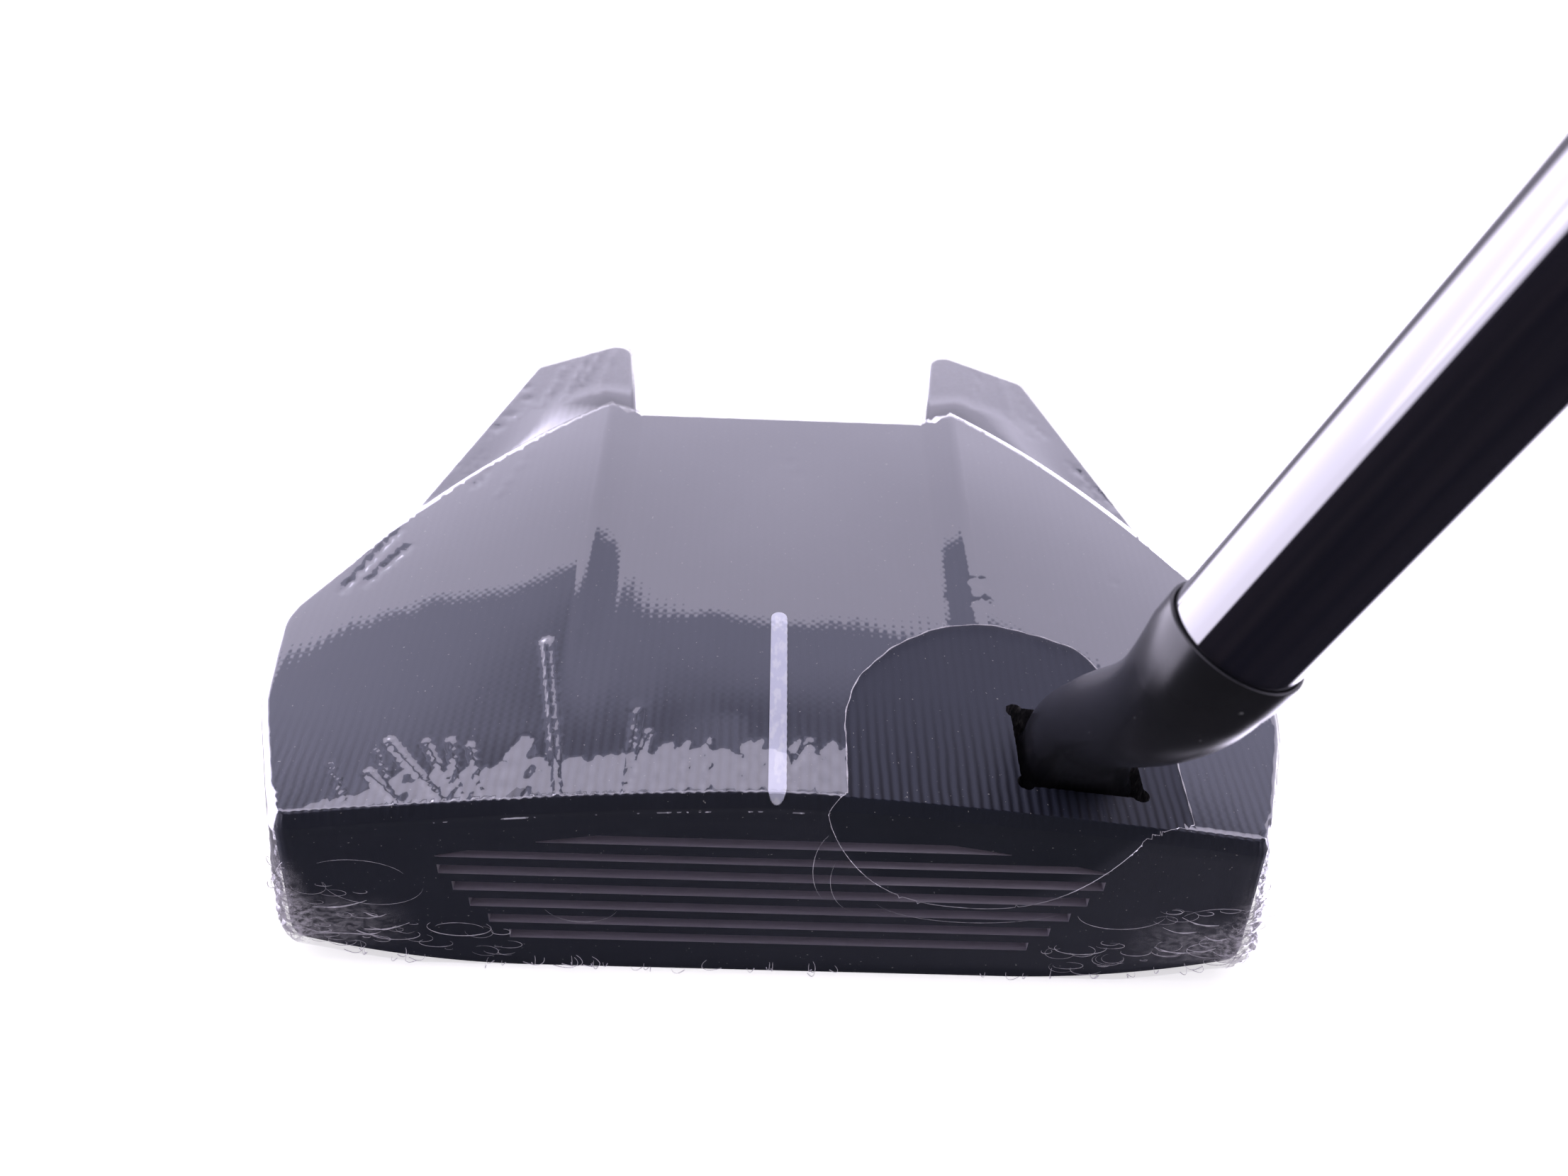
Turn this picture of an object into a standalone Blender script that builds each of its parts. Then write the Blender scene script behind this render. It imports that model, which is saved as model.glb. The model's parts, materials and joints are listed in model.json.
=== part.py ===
"""Mallet putter with a milled head and two rear wings, a slant neck, a stepped steel shaft, a
rubber grip, screw-in sole weights and a clear shrink film round the head.

Frame: the origin is on the ground at the middle of the sole plate, +X points to the heel, +Y away
from the face and +Z up, with the club at address. The named sizes are millimetres. Head places
are measured from the top of the face, so y = 0 there; at() turns them into world metres.
"""

import math

import bmesh
import bpy
from mathutils import Matrix, Vector

MM = 0.001
GAP = 0.3  # between neighbouring pieces
FILL_GAP = 0.05  # round the paint in its slot
STACK_GAP = 0.1  # between the layers of a clamped stack

# Head
HEAD_HEIGHT = 24.4
EDGE_HEIGHT = 19.5  # height at which the outline below is true
FACE_TO_ORIGIN = 27.0
LOFT = math.radians(3.0)
SIDE_DRAFT = 0.045
LOFT_FADE = 30.0  # the loft dies away over this distance behind the face
HALF_OUTLINE = (  # x, y, corner radius, from the front corner round to the notch
    (42.3, 0.0, 1.8),
    (47.2, 14.0, 20.0),
    (48.6, 25.5, 6.0),
    (43.3, 33.2, 2.0),
    (30.6, 72.3, 1.5),
    (19.6, 78.2, 2.0),
    (16.6, 54.8, 1.0),
)
ARC_STEP = math.radians(14.0)

# Crown of the head
ARCH_DROP = 4.65  # fall of the top from the middle to the ends, along the face
ARCH_HALF = 42.3
CHANNEL_HALF = 16.0  # flat middle of the rear crown
RIDGE_HALF = 19.2  # ridge beside it
CHANNEL_DROP = 0.6
RIDGE_DROP = 0.1
SHOULDER_SLOPE = 0.18
BLEND_START, BLEND_END = 8.0, 50.0
TOP_EDGE_RADIUS = 2.2
CEILING = 45.0

# Wings, lower than the crown, with a concave web up to it
WING_HEIGHT = 18.7
WING_SLOPE = 0.05
WEB_WIDTH = 4.0
WEB_LINES = (0.7, 1.5, 2.4, WEB_WIDTH)  # distances at which its curve has points
STEP_LIP = 0.9
CROWN_REAR_CORNER = (19.3, 55.8)
CROWN_SIDE_CORNER = (43.3, 33.0)
CROWN_EDGE_PULL = (32.3, 48.6)
WEB_CENTRE = (10.0, 20.0)

# Sole
SOLE_FLAT_HALF = 22.0
SOLE_CAMBER_RADIUS = 62.0

# Face grooves
GROOVE_COUNT = 7
GROOVE_TOP = 19.1
GROOVE_PITCH = 2.28
GROOVE_HEIGHT = 1.2
GROOVE_DEPTH = 1.1
GROOVE_LONGEST = 29.2
ARCH_CLIP_TOP = 20.4
ARCH_CLIP_DROP = 4.6

# Alignment line
LINE_WIDTH = 1.5
LINE_START, LINE_END = 0.1, 22.35
LINE_DEPTH = 0.4

# Neck and its pocket
NECK_X, NECK_Y = 26.5, 7.9
POCKET_HALF = (5.8, 4.8)
POCKET_FLOOR = 16.7
POCKET_CORNER = 1.4
RELIEF_INSET, RELIEF_RADIUS = 0.7, 1.3
NECK_BASE_HALF = (4.9, 4.3)
NECK_PATH = ((26.5, 7.9, 21.0), (26.4, 8.2, 30.0), (26.8, -3.6, 36.5))
NECK_SECTIONS = ((0.0, 4.6, 4.1), (0.3, 4.3, 4.0), (0.6, 4.2, 4.05), (0.8, 4.4, 4.3), (1.0, 4.9, 4.9))
NECK_SIDES = 32
COLLAR_START, COLLAR_END = 24.5, 28.0
COLLAR_RADIUS = 5.05
LIP_RADIUS = 4.86
LIP_DEPTH = 1.4
POST_RADIUS = 3.7
POST_END = 46.0

# Screw that holds the neck from below
NECK_SCREW_SHANK, NECK_SCREW_HEAD = 2.4, 4.2
NECK_SCREW_LOW, NECK_SCREW_SEAT, NECK_SCREW_TOP = 1.7, 5.5, 24.5
NECK_SCREW_SOCKET, NECK_SCREW_SOCKET_TOP = 4.0, 4.2
THREAD_HOLE_RADIUS, THREAD_HOLE_LOW, THREAD_HOLE_TOP = 2.6, 15.0, 25.0
CLEARANCE_RADIUS, COUNTERBORE_RADIUS = 2.7, 4.8
COUNTERBORE_TOP, CLEARANCE_TOP = 6.7, 18.0
WASHER_RADIUS, WASHER_BORE = 4.3, 2.55
WASHER_LOW, WASHER_HIGH = 5.6, 6.6

# Shaft, measured along its axis from SHAFT_FOOT
SHAFT_FOOT = (19.6, -6.2, 24.4)
SHAFT_LEAN = math.radians(20.12)  # from the vertical, so the lie is 69.9 degrees
SHAFT_START, SHAFT_END = 26.8, 835.0
TIP_RADIUS, BUTT_RADIUS = 4.7, 7.4
SHAFT_WALL = 0.65
STEP_START, STEP_PITCH, STEP_COUNT, STEP_RAMP = 300.0, 38.0, 7, 1.5
PLUG_START, PLUG_END = 816.0, 833.0

# Grip
GRIP_START, GRIP_END = 570.0, 836.0
GRIP_BORE = 8.2
GRIP_SECTIONS = ((0.0, 9.8, 9.8), (0.03, 10.6, 10.6), (0.4, 12.2, 12.6), (0.8, 13.4, 15.4), (1.0, 13.2, 15.8))
GRIP_FLAT = 0.86  # depth of its flat front, as a share of the half depth
GRIP_SIDES = 28
TAPE_RADIUS, TAPE_BORE, TAPE_END = 7.95, 7.6, 828.0
CAP_THICKNESS = 3.0
VENT_RADIUS = 1.2

# Sole plate, its gasket and its screws
PLATE_HALF = (17.0, 15.0)
PLATE_CORNER = 4.0
PLATE_THICKNESS = 2.0
GASKET_THICKNESS = 0.5
PLATE_SCREWS = ((-13.0, 16.0), (13.0, 16.0), (-13.0, 38.0), (13.0, 38.0))
PLATE_SCREW_SHANK, PLATE_SCREW_HEAD = 1.5, 3.0
PLATE_SCREW_LOW, PLATE_SCREW_TOP = 0.1, 8.0
PLATE_SCREW_SOCKET, PLATE_SCREW_SOCKET_TOP = 2.0, 1.3
SINK_BORE, SINK_RADIUS = 1.8, 3.5

# Sole weights
WEIGHT_X, WEIGHT_Y = 26.2, 58.0
FLANGE_RADIUS, STEM_RADIUS, GROOVE_RADIUS = 6.3, 4.9, 4.4
FLANGE_LOW, FLANGE_HIGH, STEM_HIGH = 1.4, 3.1, 10.9
SEAL_MAJOR, SEAL_MINOR = 5.35, 0.42
WEIGHT_SOCKET, WEIGHT_SOCKET_DEPTH = 4.0, 3.0

# Film
FILM_INNER, FILM_OUTER = 0.3, 0.55
FILM_FOOT = 0.5
FILM_HOLE_TOP = (20.7, 7.2, 14.9)  # x, y, radius of the hole on the crown
FILM_HOLE_FACE = (18.0, 24.5, 13.7)  # x, z, radius where it runs down the face

ROUND_STEPS = 24


def at(x, y, z):
    """A head place, in millimetres behind the face, as world metres."""
    return Vector((x, y - FACE_TO_ORIGIN, z)) * MM


def clear_scene():
    for item in list(bpy.data.objects):
        bpy.data.objects.remove(item, do_unlink=True)


def new_collection(name):
    collection = bpy.data.collections.new(name)
    bpy.context.scene.collection.children.link(collection)
    return collection


def new_material(name, colour, metallic, roughness, alpha=1.0):
    material = bpy.data.materials.new(name)
    material.use_nodes = True
    shader = material.node_tree.nodes["Principled BSDF"]
    shader.inputs["Base Color"].default_value = (*colour, 1.0)
    shader.inputs["Metallic"].default_value = metallic
    shader.inputs["Roughness"].default_value = roughness
    shader.inputs["Alpha"].default_value = alpha
    return material


def add_object(name, mesh, matrix=None):
    """A cutter until keep() makes it a piece."""
    item = bpy.data.objects.new(name, mesh)
    if matrix is not None:
        item.matrix_world = matrix
    CUTTERS.objects.link(item)
    item.hide_render = True
    item.display_type = "WIRE"
    return item


def keep(item, name, material):
    """Moves an object to the putter's collection as a named piece."""
    item.name = name
    item.data.materials.append(material)
    CUTTERS.objects.unlink(item)
    PUTTER.objects.link(item)
    item.hide_render = False
    item.display_type = "TEXTURED"
    item.data.shade_smooth()
    item.data.set_sharp_from_angle(angle=math.radians(30.0))
    return item


def boolean(item, other, operation):
    modifier = item.modifiers.new(operation.lower(), "BOOLEAN")
    modifier.operation = operation
    modifier.object = other


def cut(item, *cutters):
    for cutter in cutters:
        boolean(item, cutter, "DIFFERENCE")


def mesh_from(bm, name):
    bmesh.ops.recalc_face_normals(bm, faces=bm.faces)
    mesh = bpy.data.meshes.new(name)
    bm.to_mesh(mesh)
    bm.free()
    return mesh


def loft(name, rings):
    """Skins rings of equally many points, given in metres, and caps both ends."""
    bm = bmesh.new()
    rows = [[bm.verts.new(point) for point in ring] for ring in rings]
    count = len(rows[0])
    for low, high in zip(rows, rows[1:]):
        for i in range(count):
            j = (i + 1) % count
            bm.faces.new((low[i], low[j], high[j], high[i]))
    bm.faces.new(reversed(rows[0]))
    bm.faces.new(rows[-1])
    return add_object(name, mesh_from(bm, name))


def prism(name, outline, low, high, matrix=None):
    """A flat outline in millimetres, filled and raised from low to high."""
    curve = bpy.data.curves.new(name, "CURVE")
    curve.dimensions = "2D"
    curve.fill_mode = "BOTH"
    curve.extrude = (high - low) / 2.0 * MM
    spline = curve.splines.new("POLY")
    spline.points.add(len(outline) - 1)
    for point, (x, y) in zip(spline.points, outline):
        point.co = (x * MM, y * MM, 0.0, 1.0)
    spline.use_cyclic_u = True
    base = matrix if matrix is not None else Matrix.Translation(at(0.0, 0.0, 0.0))
    flat = add_object(name + "_outline", curve)
    bpy.context.view_layer.update()
    graph = bpy.context.evaluated_depsgraph_get()
    mesh = bpy.data.meshes.new_from_object(flat.evaluated_get(graph))
    bpy.data.objects.remove(flat, do_unlink=True)
    bm = bmesh.new()
    bm.from_mesh(mesh)
    bmesh.ops.remove_doubles(bm, verts=bm.verts, dist=0.001 * MM)
    bmesh.ops.recalc_face_normals(bm, faces=bm.faces)
    bm.to_mesh(mesh)
    bm.free()
    return add_object(name, mesh, base @ Matrix.Translation((0.0, 0.0, (low + high) / 2.0 * MM)))


def turned(name, profile, matrix, closed=False, steps=ROUND_STEPS):
    """Turns a profile of (radius, height) about its Z axis; it runs down its outer side."""
    mesh = bpy.data.meshes.new(name)
    count = len(profile)
    edges = [(i, i + 1) for i in range(count - 1)]
    if closed:
        edges.append((count - 1, 0))
    mesh.from_pydata([(r * MM, 0.0, h * MM) for r, h in profile], edges, [])
    item = add_object(name, mesh, matrix)
    screw = item.modifiers.new("turn", "SCREW")
    screw.steps = steps
    screw.render_steps = steps
    screw.use_merge_vertices = True
    screw.merge_threshold = 0.001 * MM
    return item


def tube(name, outer, inner, low, high, matrix):
    profile = ((outer, high), (outer, low), (inner, low), (inner, high))
    return turned(name, profile, matrix, closed=True)


def cylinder(name, radius, low, high, matrix, sides=ROUND_STEPS):
    bm = bmesh.new()
    bmesh.ops.create_cone(
        bm,
        cap_ends=True,
        segments=sides,
        radius1=radius * MM,
        radius2=radius * MM,
        depth=(high - low) * MM,
        matrix=Matrix.Translation((0.0, 0.0, (low + high) / 2.0 * MM)),
    )
    return add_object(name, mesh_from(bm, name), matrix)


def upright(x, y):
    """Matrix of a vertical axis at a head place."""
    return Matrix.Translation(at(x, y, 0.0))


def shaft_matrix():
    """Matrix whose Z axis is the shaft's."""
    return Matrix.Translation(at(*SHAFT_FOOT)) @ Matrix.Rotation(SHAFT_LEAN, 4, "Y")


def smooth(value, start, end):
    t = min(1.0, max(0.0, (value - start) / (end - start)))
    return t * t * (3.0 - 2.0 * t)


def rounded(corners):
    """A closed outline whose corners (x, y, radius) are rounded with arcs."""
    outline = []
    for i, (x, y, radius) in enumerate(corners):
        corner = Vector((x, y))
        before = (Vector(corners[i - 1][:2]) - corner).normalized()
        after = (Vector(corners[(i + 1) % len(corners)][:2]) - corner).normalized()
        half = before.angle(after) / 2.0
        centre = corner + (before + after).normalized() * (radius / math.sin(half))
        setback = radius / math.tan(half)
        first = corner + before * setback - centre
        last = corner + after * setback - centre
        start = math.atan2(first.y, first.x)
        turn = (math.atan2(last.y, last.x) - start + math.pi) % math.tau - math.pi
        steps = max(1, round(abs(turn) / ARC_STEP))
        for step in range(steps + 1):
            angle = start + turn * step / steps
            outline.append(centre + Vector((math.cos(angle), math.sin(angle))) * radius)
    return outline


def grown(outline, distance):
    """The outline moved outwards by a distance; it runs anticlockwise."""
    moved = []
    for i, point in enumerate(outline):
        before = (point - outline[i - 1]).normalized()
        after = (outline[(i + 1) % len(outline)] - point).normalized()
        first = Vector((before.y, -before.x))
        normal = (first + Vector((after.y, -after.x))).normalized()
        moved.append(point + normal * (distance / normal.dot(first)))
    return moved


def head_ring(z, grow):
    """The head's outline at height z, with side draft and face loft."""
    left = [(-x, y, radius) for x, y, radius in reversed(HALF_OUTLINE)]
    outline = grown(rounded(list(HALF_OUTLINE) + left), grow)
    widen = 1.0 + SIDE_DRAFT * (EDGE_HEIGHT - z) / EDGE_HEIGHT
    lean = math.tan(LOFT) * (HEAD_HEIGHT - z)
    return [at(p.x * widen, p.y - lean * max(0.0, 1.0 - p.y / LOFT_FADE), z) for p in outline]


def crown_height(x, y):
    """Top of the head: arched along the face, a flat channel between two ridges at the rear."""
    side = abs(x)
    arch = ARCH_DROP * (side / ARCH_HALF) ** 1.5
    ramp = min(1.0, max(0.0, (side - CHANNEL_HALF) / (RIDGE_HALF - CHANNEL_HALF)))
    rear = CHANNEL_DROP + (RIDGE_DROP - CHANNEL_DROP) * ramp
    rear += SHOULDER_SLOPE * max(0.0, side - RIDGE_HALF)
    t = smooth(y, BLEND_START, BLEND_END)
    return HEAD_HEIGHT - (1.0 - t) * arch - t * rear


def surface_cutter(name, columns, rows, place):
    """Everything above a surface; place(i, j) gives its point in column i and row j."""
    bm = bmesh.new()
    bmesh.ops.create_grid(bm, x_segments=columns - 1, y_segments=rows - 1, size=1.0)
    for vertex in bm.verts:
        i = round((vertex.co.x + 1.0) / 2.0 * (columns - 1))
        j = round((vertex.co.y + 1.0) / 2.0 * (rows - 1))
        vertex.co = place(i, j)
    raised = bmesh.ops.extrude_face_region(bm, geom=bm.faces[:])
    for element in raised["geom"]:
        if isinstance(element, bmesh.types.BMVert):
            element.co.z = CEILING * MM
    return add_object(name, mesh_from(bm, name))


def crown_cutter(grow):
    """Everything above the crown, with a rounded front edge."""
    half = [0.0, 5.0, 10.5, CHANNEL_HALF, RIDGE_HALF, 24.0, 29.0, 34.0, 39.0, 44.0, 60.0]
    columns = [-x for x in reversed(half[1:])] + half
    turns = [math.radians(angle) for angle in (0.0, 22.0, 42.0, 60.0, 76.0, 90.0)]
    front = -math.tan(LOFT) * TOP_EDGE_RADIUS - grow
    rows = [(-12.0, TOP_EDGE_RADIUS)]
    for turn in turns:
        rows.append((front + TOP_EDGE_RADIUS * (1.0 - math.cos(turn)), TOP_EDGE_RADIUS * (1.0 - math.sin(turn))))
    rows += [(y, 0.0) for y in (8.0, 14.0, 20.0, 26.0, 32.0, 38.0, 44.0, 50.0, 58.0, 90.0)]

    def place(i, j):
        x = columns[i]
        y, drop = rows[j]
        return at(x, y, crown_height(x, y) - drop + grow)

    return surface_cutter("crown_cutter", len(columns), len(rows), place)


def crown_edge():
    """Points along the crown's rear edge, from beside the notch out past the side."""
    start, end, pull = (Vector(p) for p in (CROWN_REAR_CORNER, CROWN_SIDE_CORNER, CROWN_EDGE_PULL))
    points = [Vector((8.0, 55.0)), Vector((CHANNEL_HALF + 0.6, 55.0))]
    for step in range(9):
        t = step / 8.0
        points.append(start * (1.0 - t) ** 2 + pull * 2.0 * t * (1.0 - t) + end * t**2)
    points.append(Vector((50.0, 24.0)))
    return points


def wing_cutter(side, grow):
    """Everything above one wing, with the web that rises to the crown."""
    path = crown_edge()
    distances = [0.0, *WEB_LINES, 60.0]

    def place(i, j):
        start = path[i]
        outward = (start - Vector(WEB_CENTRE)).normalized()
        point = start + outward * (distances[j] + grow)
        low = WING_HEIGHT - WING_SLOPE * (min(point.x, 50.0) - RIDGE_HALF)
        rise = max(0.0, crown_height(start.x, start.y) - STEP_LIP - low)
        web = max(0.0, 1.0 - distances[j] / WEB_WIDTH) ** 2
        return at(side * point.x, point.y, low + rise * web + grow)

    return surface_cutter("wing_cutter", len(path), len(distances), place)


def head_block(name, low, grow):
    """The head without its pockets, or the same form a little larger for the film."""
    block = loft(name, [head_ring(low, grow), head_ring(HEAD_HEIGHT + 4.0, grow)])
    cut(block, crown_cutter(grow), wing_cutter(1.0, grow), wing_cutter(-1.0, grow))
    return block


def sole_cutter(side):
    """The rise of the sole from its flat middle out to the side."""
    reach = 60.0 - SOLE_FLAT_HALF
    steps = 10
    arc = []
    for step in range(steps + 1):
        out = reach * step / steps
        arc.append((side * (SOLE_FLAT_HALF + out), out * out / (2.0 * SOLE_CAMBER_RADIUS) - 0.02))
    outline = arc + [(side * 60.0, -8.0), (side * SOLE_FLAT_HALF, -8.0)]
    along_y = Matrix.Translation(at(0.0, 0.0, 0.0)) @ Matrix.Rotation(math.pi / 2.0, 4, "X")
    return prism("sole_cutter", outline, -100.0, 20.0, along_y)


def face_matrix():
    """Matrix with X along the face, Y up it and Z out of it."""
    foot = at(0.0, -math.tan(LOFT) * HEAD_HEIGHT, 0.0)
    return Matrix.Translation(foot) @ Matrix.Rotation(math.pi / 2.0 - LOFT, 4, "X")


def groove_cutter(index):
    """One horizontal groove; the upper ones are cut short by an arch like the crown's."""
    high = GROOVE_TOP - GROOVE_PITCH * index
    low = high - GROOVE_HEIGHT
    below = max(0, index - 2)
    half = GROOVE_LONGEST - 0.9 * below - 0.11 * below**2
    reach = GROOVE_LONGEST * ((ARCH_CLIP_TOP - low - 0.1) / ARCH_CLIP_DROP) ** (1.0 / 1.8)
    half = min(half, reach)
    steps = 10
    upper = []
    for step in range(-steps, steps + 1):
        x = half * step / steps
        arch = ARCH_CLIP_TOP - ARCH_CLIP_DROP * (abs(x) / GROOVE_LONGEST) ** 1.8
        if arch < high or abs(step) == steps:
            upper.append((-x, min(high, arch)))
    outline = [(-half, low), (half, low)] + upper
    return prism("groove_cutter", outline, -GROOVE_DEPTH, 4.0, face_matrix())


def rectangle(half_x, half_y, radius, centre=(0.0, 0.0)):
    cx, cy = centre
    signs = ((1, -1), (1, 1), (-1, 1), (-1, -1))
    return rounded([(cx + half_x * sx, cy + half_y * sy, radius) for sx, sy in signs])


def pocket_cutters():
    """The neck's pocket: a rectangle with a round relief at each corner."""
    outline = rectangle(*POCKET_HALF, POCKET_CORNER, (NECK_X, NECK_Y))
    cutters = [prism("pocket_cutter", outline, POCKET_FLOOR, 40.0)]
    for sx in (-1.0, 1.0):
        for sy in (-1.0, 1.0):
            x = NECK_X + sx * (POCKET_HALF[0] - RELIEF_INSET)
            y = NECK_Y + sy * (POCKET_HALF[1] - RELIEF_INSET)
            place = upright(x, y)
            cutters.append(cylinder("relief_cutter", RELIEF_RADIUS, POCKET_FLOOR, 40.0, place, 16))
    return cutters


def neck_screw_cutter():
    profile = (
        (0.0, CLEARANCE_TOP),
        (CLEARANCE_RADIUS, CLEARANCE_TOP),
        (CLEARANCE_RADIUS, COUNTERBORE_TOP),
        (COUNTERBORE_RADIUS, COUNTERBORE_TOP),
        (COUNTERBORE_RADIUS, -2.0),
        (0.0, -2.0),
    )
    return turned("neck_screw_cutter", profile, upright(NECK_X, NECK_Y))


def weight_cutter(side):
    """A weight's bore: a counterbore for flange and seal, then the stem's hole."""
    ledge = FLANGE_HIGH + 1.0
    flange, stem = FLANGE_RADIUS + GAP, STEM_RADIUS + GAP
    top = STEM_HIGH + 1.0
    profile = ((0.0, top), (stem, top), (stem, ledge), (flange, ledge), (flange, -2.0), (0.0, -2.0))
    return turned("weight_cutter", profile, upright(side * WEIGHT_X, WEIGHT_Y))


def capsule(half_width, start, end):
    """An outline along Y with round ends."""
    return rounded([(half_width, start, half_width * 0.98), (half_width, end, half_width * 0.98),
                    (-half_width, end, half_width * 0.98), (-half_width, start, half_width * 0.98)])


def build_head(material):
    head = head_block("head_body", 0.0, 0.0)
    cut(head, sole_cutter(1.0), sole_cutter(-1.0))
    cut(head, *(groove_cutter(index) for index in range(GROOVE_COUNT)))
    cut(head, *pocket_cutters(), neck_screw_cutter(), weight_cutter(1.0), weight_cutter(-1.0))
    recess = rectangle(PLATE_HALF[0] + GAP, PLATE_HALF[1] + GAP, PLATE_CORNER, (0.0, FACE_TO_ORIGIN))
    depth = PLATE_THICKNESS + GASKET_THICKNESS + 2.0 * STACK_GAP
    cut(head, prism("plate_cutter", recess, -2.0, depth))
    for x, y in PLATE_SCREWS:
        top = PLATE_SCREW_TOP + 1.0
        cut(head, cylinder("plate_screw_cutter", PLATE_SCREW_SHANK + GAP, 1.0, top, upright(x, y), 16))
    slot = capsule(LINE_WIDTH / 2.0 + FILL_GAP, LINE_START - FILL_GAP, LINE_END + FILL_GAP)
    cut(head, line_band("slot_cutter", slot, -LINE_DEPTH, 3.0))
    return keep(head, "head_body", material)


def line_band(name, outline, low, high):
    """An outline on the crown's middle, between two offsets from the crown's surface."""
    band = prism(name, outline, HEAD_HEIGHT - 6.0, HEAD_HEIGHT + high)
    floor = crown_cutter(low)
    boolean(band, floor, "INTERSECT")
    return band


def build_line(material):
    outline = capsule(LINE_WIDTH / 2.0, LINE_START, LINE_END)
    line = line_band("alignment_line", outline, -LINE_DEPTH + FILL_GAP, 3.0)
    cut(line, crown_cutter(0.0))
    return keep(line, "alignment_line", material)


def circle_ring(matrix, radius, height, half_y=None, power=2.0, sides=NECK_SIDES):
    """A ring of points round the Z axis of a matrix; a higher power squares it."""
    ring = []
    for i in range(sides):
        angle = math.tau * i / sides
        c, s = math.cos(angle), math.sin(angle)
        x = math.copysign(abs(c) ** (2.0 / power), c) * radius
        y = math.copysign(abs(s) ** (2.0 / power), s) * (half_y if half_y is not None else radius)
        ring.append(matrix @ (Vector((x, y, height)) * MM))
    return ring


def interpolate(table, t):
    """Widths (a, b) at t in a table of (t, a, b) rows."""
    for (t0, a0, b0), (t1, a1, b1) in zip(table, table[1:]):
        if t <= t1:
            share = (t - t0) / (t1 - t0)
            return a0 + (a1 - a0) * share, b0 + (b1 - b0) * share
    return table[-1][1:]


def neck_arm_rings(steps=11):
    """Sections of the neck's arm along a cubic curve from its base to its collar."""
    end = shaft_matrix() @ (Vector((0.0, 0.0, COLLAR_START)) * MM)
    p0, p1, p2 = (at(*point) for point in NECK_PATH)
    rings = []
    for step in range(steps + 1):
        t = step / steps
        u = 1.0 - t
        centre = p0 * u**3 + p1 * 3.0 * u**2 * t + p2 * 3.0 * u * t**2 + end * t**3
        along = (p1 - p0) * u**2 + (p2 - p1) * 2.0 * u * t + (end - p2) * t**2
        along.normalize()
        across = (Vector((1.0, 0.0, 0.0)) - along * along.x).normalized()
        frame = Matrix((across, along.cross(across), along)).transposed().to_4x4()
        half_x, half_y = interpolate(NECK_SECTIONS, t)
        power = 2.0 + 1.5 * max(0.0, 1.0 - t / 0.3)
        rings.append(circle_ring(Matrix.Translation(centre) @ frame, half_x, 0.0, half_y, power))
    return rings


def build_neck(material):
    base = upright(NECK_X, NECK_Y)
    axis = shaft_matrix()
    rings = [circle_ring(base, NECK_BASE_HALF[0], z, NECK_BASE_HALF[1], 4.0) for z in (17.0, 20.0)]
    rings += neck_arm_rings()
    collar = (
        (COLLAR_RADIUS, COLLAR_START + 1.2),
        (COLLAR_RADIUS, COLLAR_END),
        (LIP_RADIUS, COLLAR_END),
        (LIP_RADIUS, COLLAR_END - LIP_DEPTH),
        (POST_RADIUS, COLLAR_END - LIP_DEPTH),
        (POST_RADIUS, POST_END),
        (POST_RADIUS - 0.5, POST_END + 0.8),
    )
    rings += [circle_ring(axis, radius, height) for radius, height in collar]
    neck = loft("neck", rings)
    cut(neck, cylinder("neck_thread_cutter", THREAD_HOLE_RADIUS, THREAD_HOLE_LOW, THREAD_HOLE_TOP, base))
    return keep(neck, "neck", material)


def hex_cutter(name, across, low, high, matrix):
    return cylinder(name, across / math.sqrt(3.0), low, high, matrix, 6)


def build_neck_screw(steel):
    place = upright(NECK_X, NECK_Y)
    profile = (
        (0.0, NECK_SCREW_TOP),
        (NECK_SCREW_SHANK - 0.4, NECK_SCREW_TOP),
        (NECK_SCREW_SHANK, NECK_SCREW_TOP - 0.4),
        (NECK_SCREW_SHANK, NECK_SCREW_SEAT),
        (NECK_SCREW_HEAD, NECK_SCREW_SEAT),
        (NECK_SCREW_HEAD, NECK_SCREW_LOW + 0.3),
        (NECK_SCREW_HEAD - 0.3, NECK_SCREW_LOW),
        (0.0, NECK_SCREW_LOW),
    )
    screw = turned("neck_screw", profile, place)
    cut(screw, hex_cutter("neck_screw_socket", NECK_SCREW_SOCKET, 0.0, NECK_SCREW_SOCKET_TOP, place))
    keep(screw, "neck_screw", steel)
    washer = tube("neck_screw_washer", WASHER_RADIUS, WASHER_BORE, WASHER_LOW, WASHER_HIGH, place)
    keep(washer, "neck_screw_washer", steel)


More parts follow.
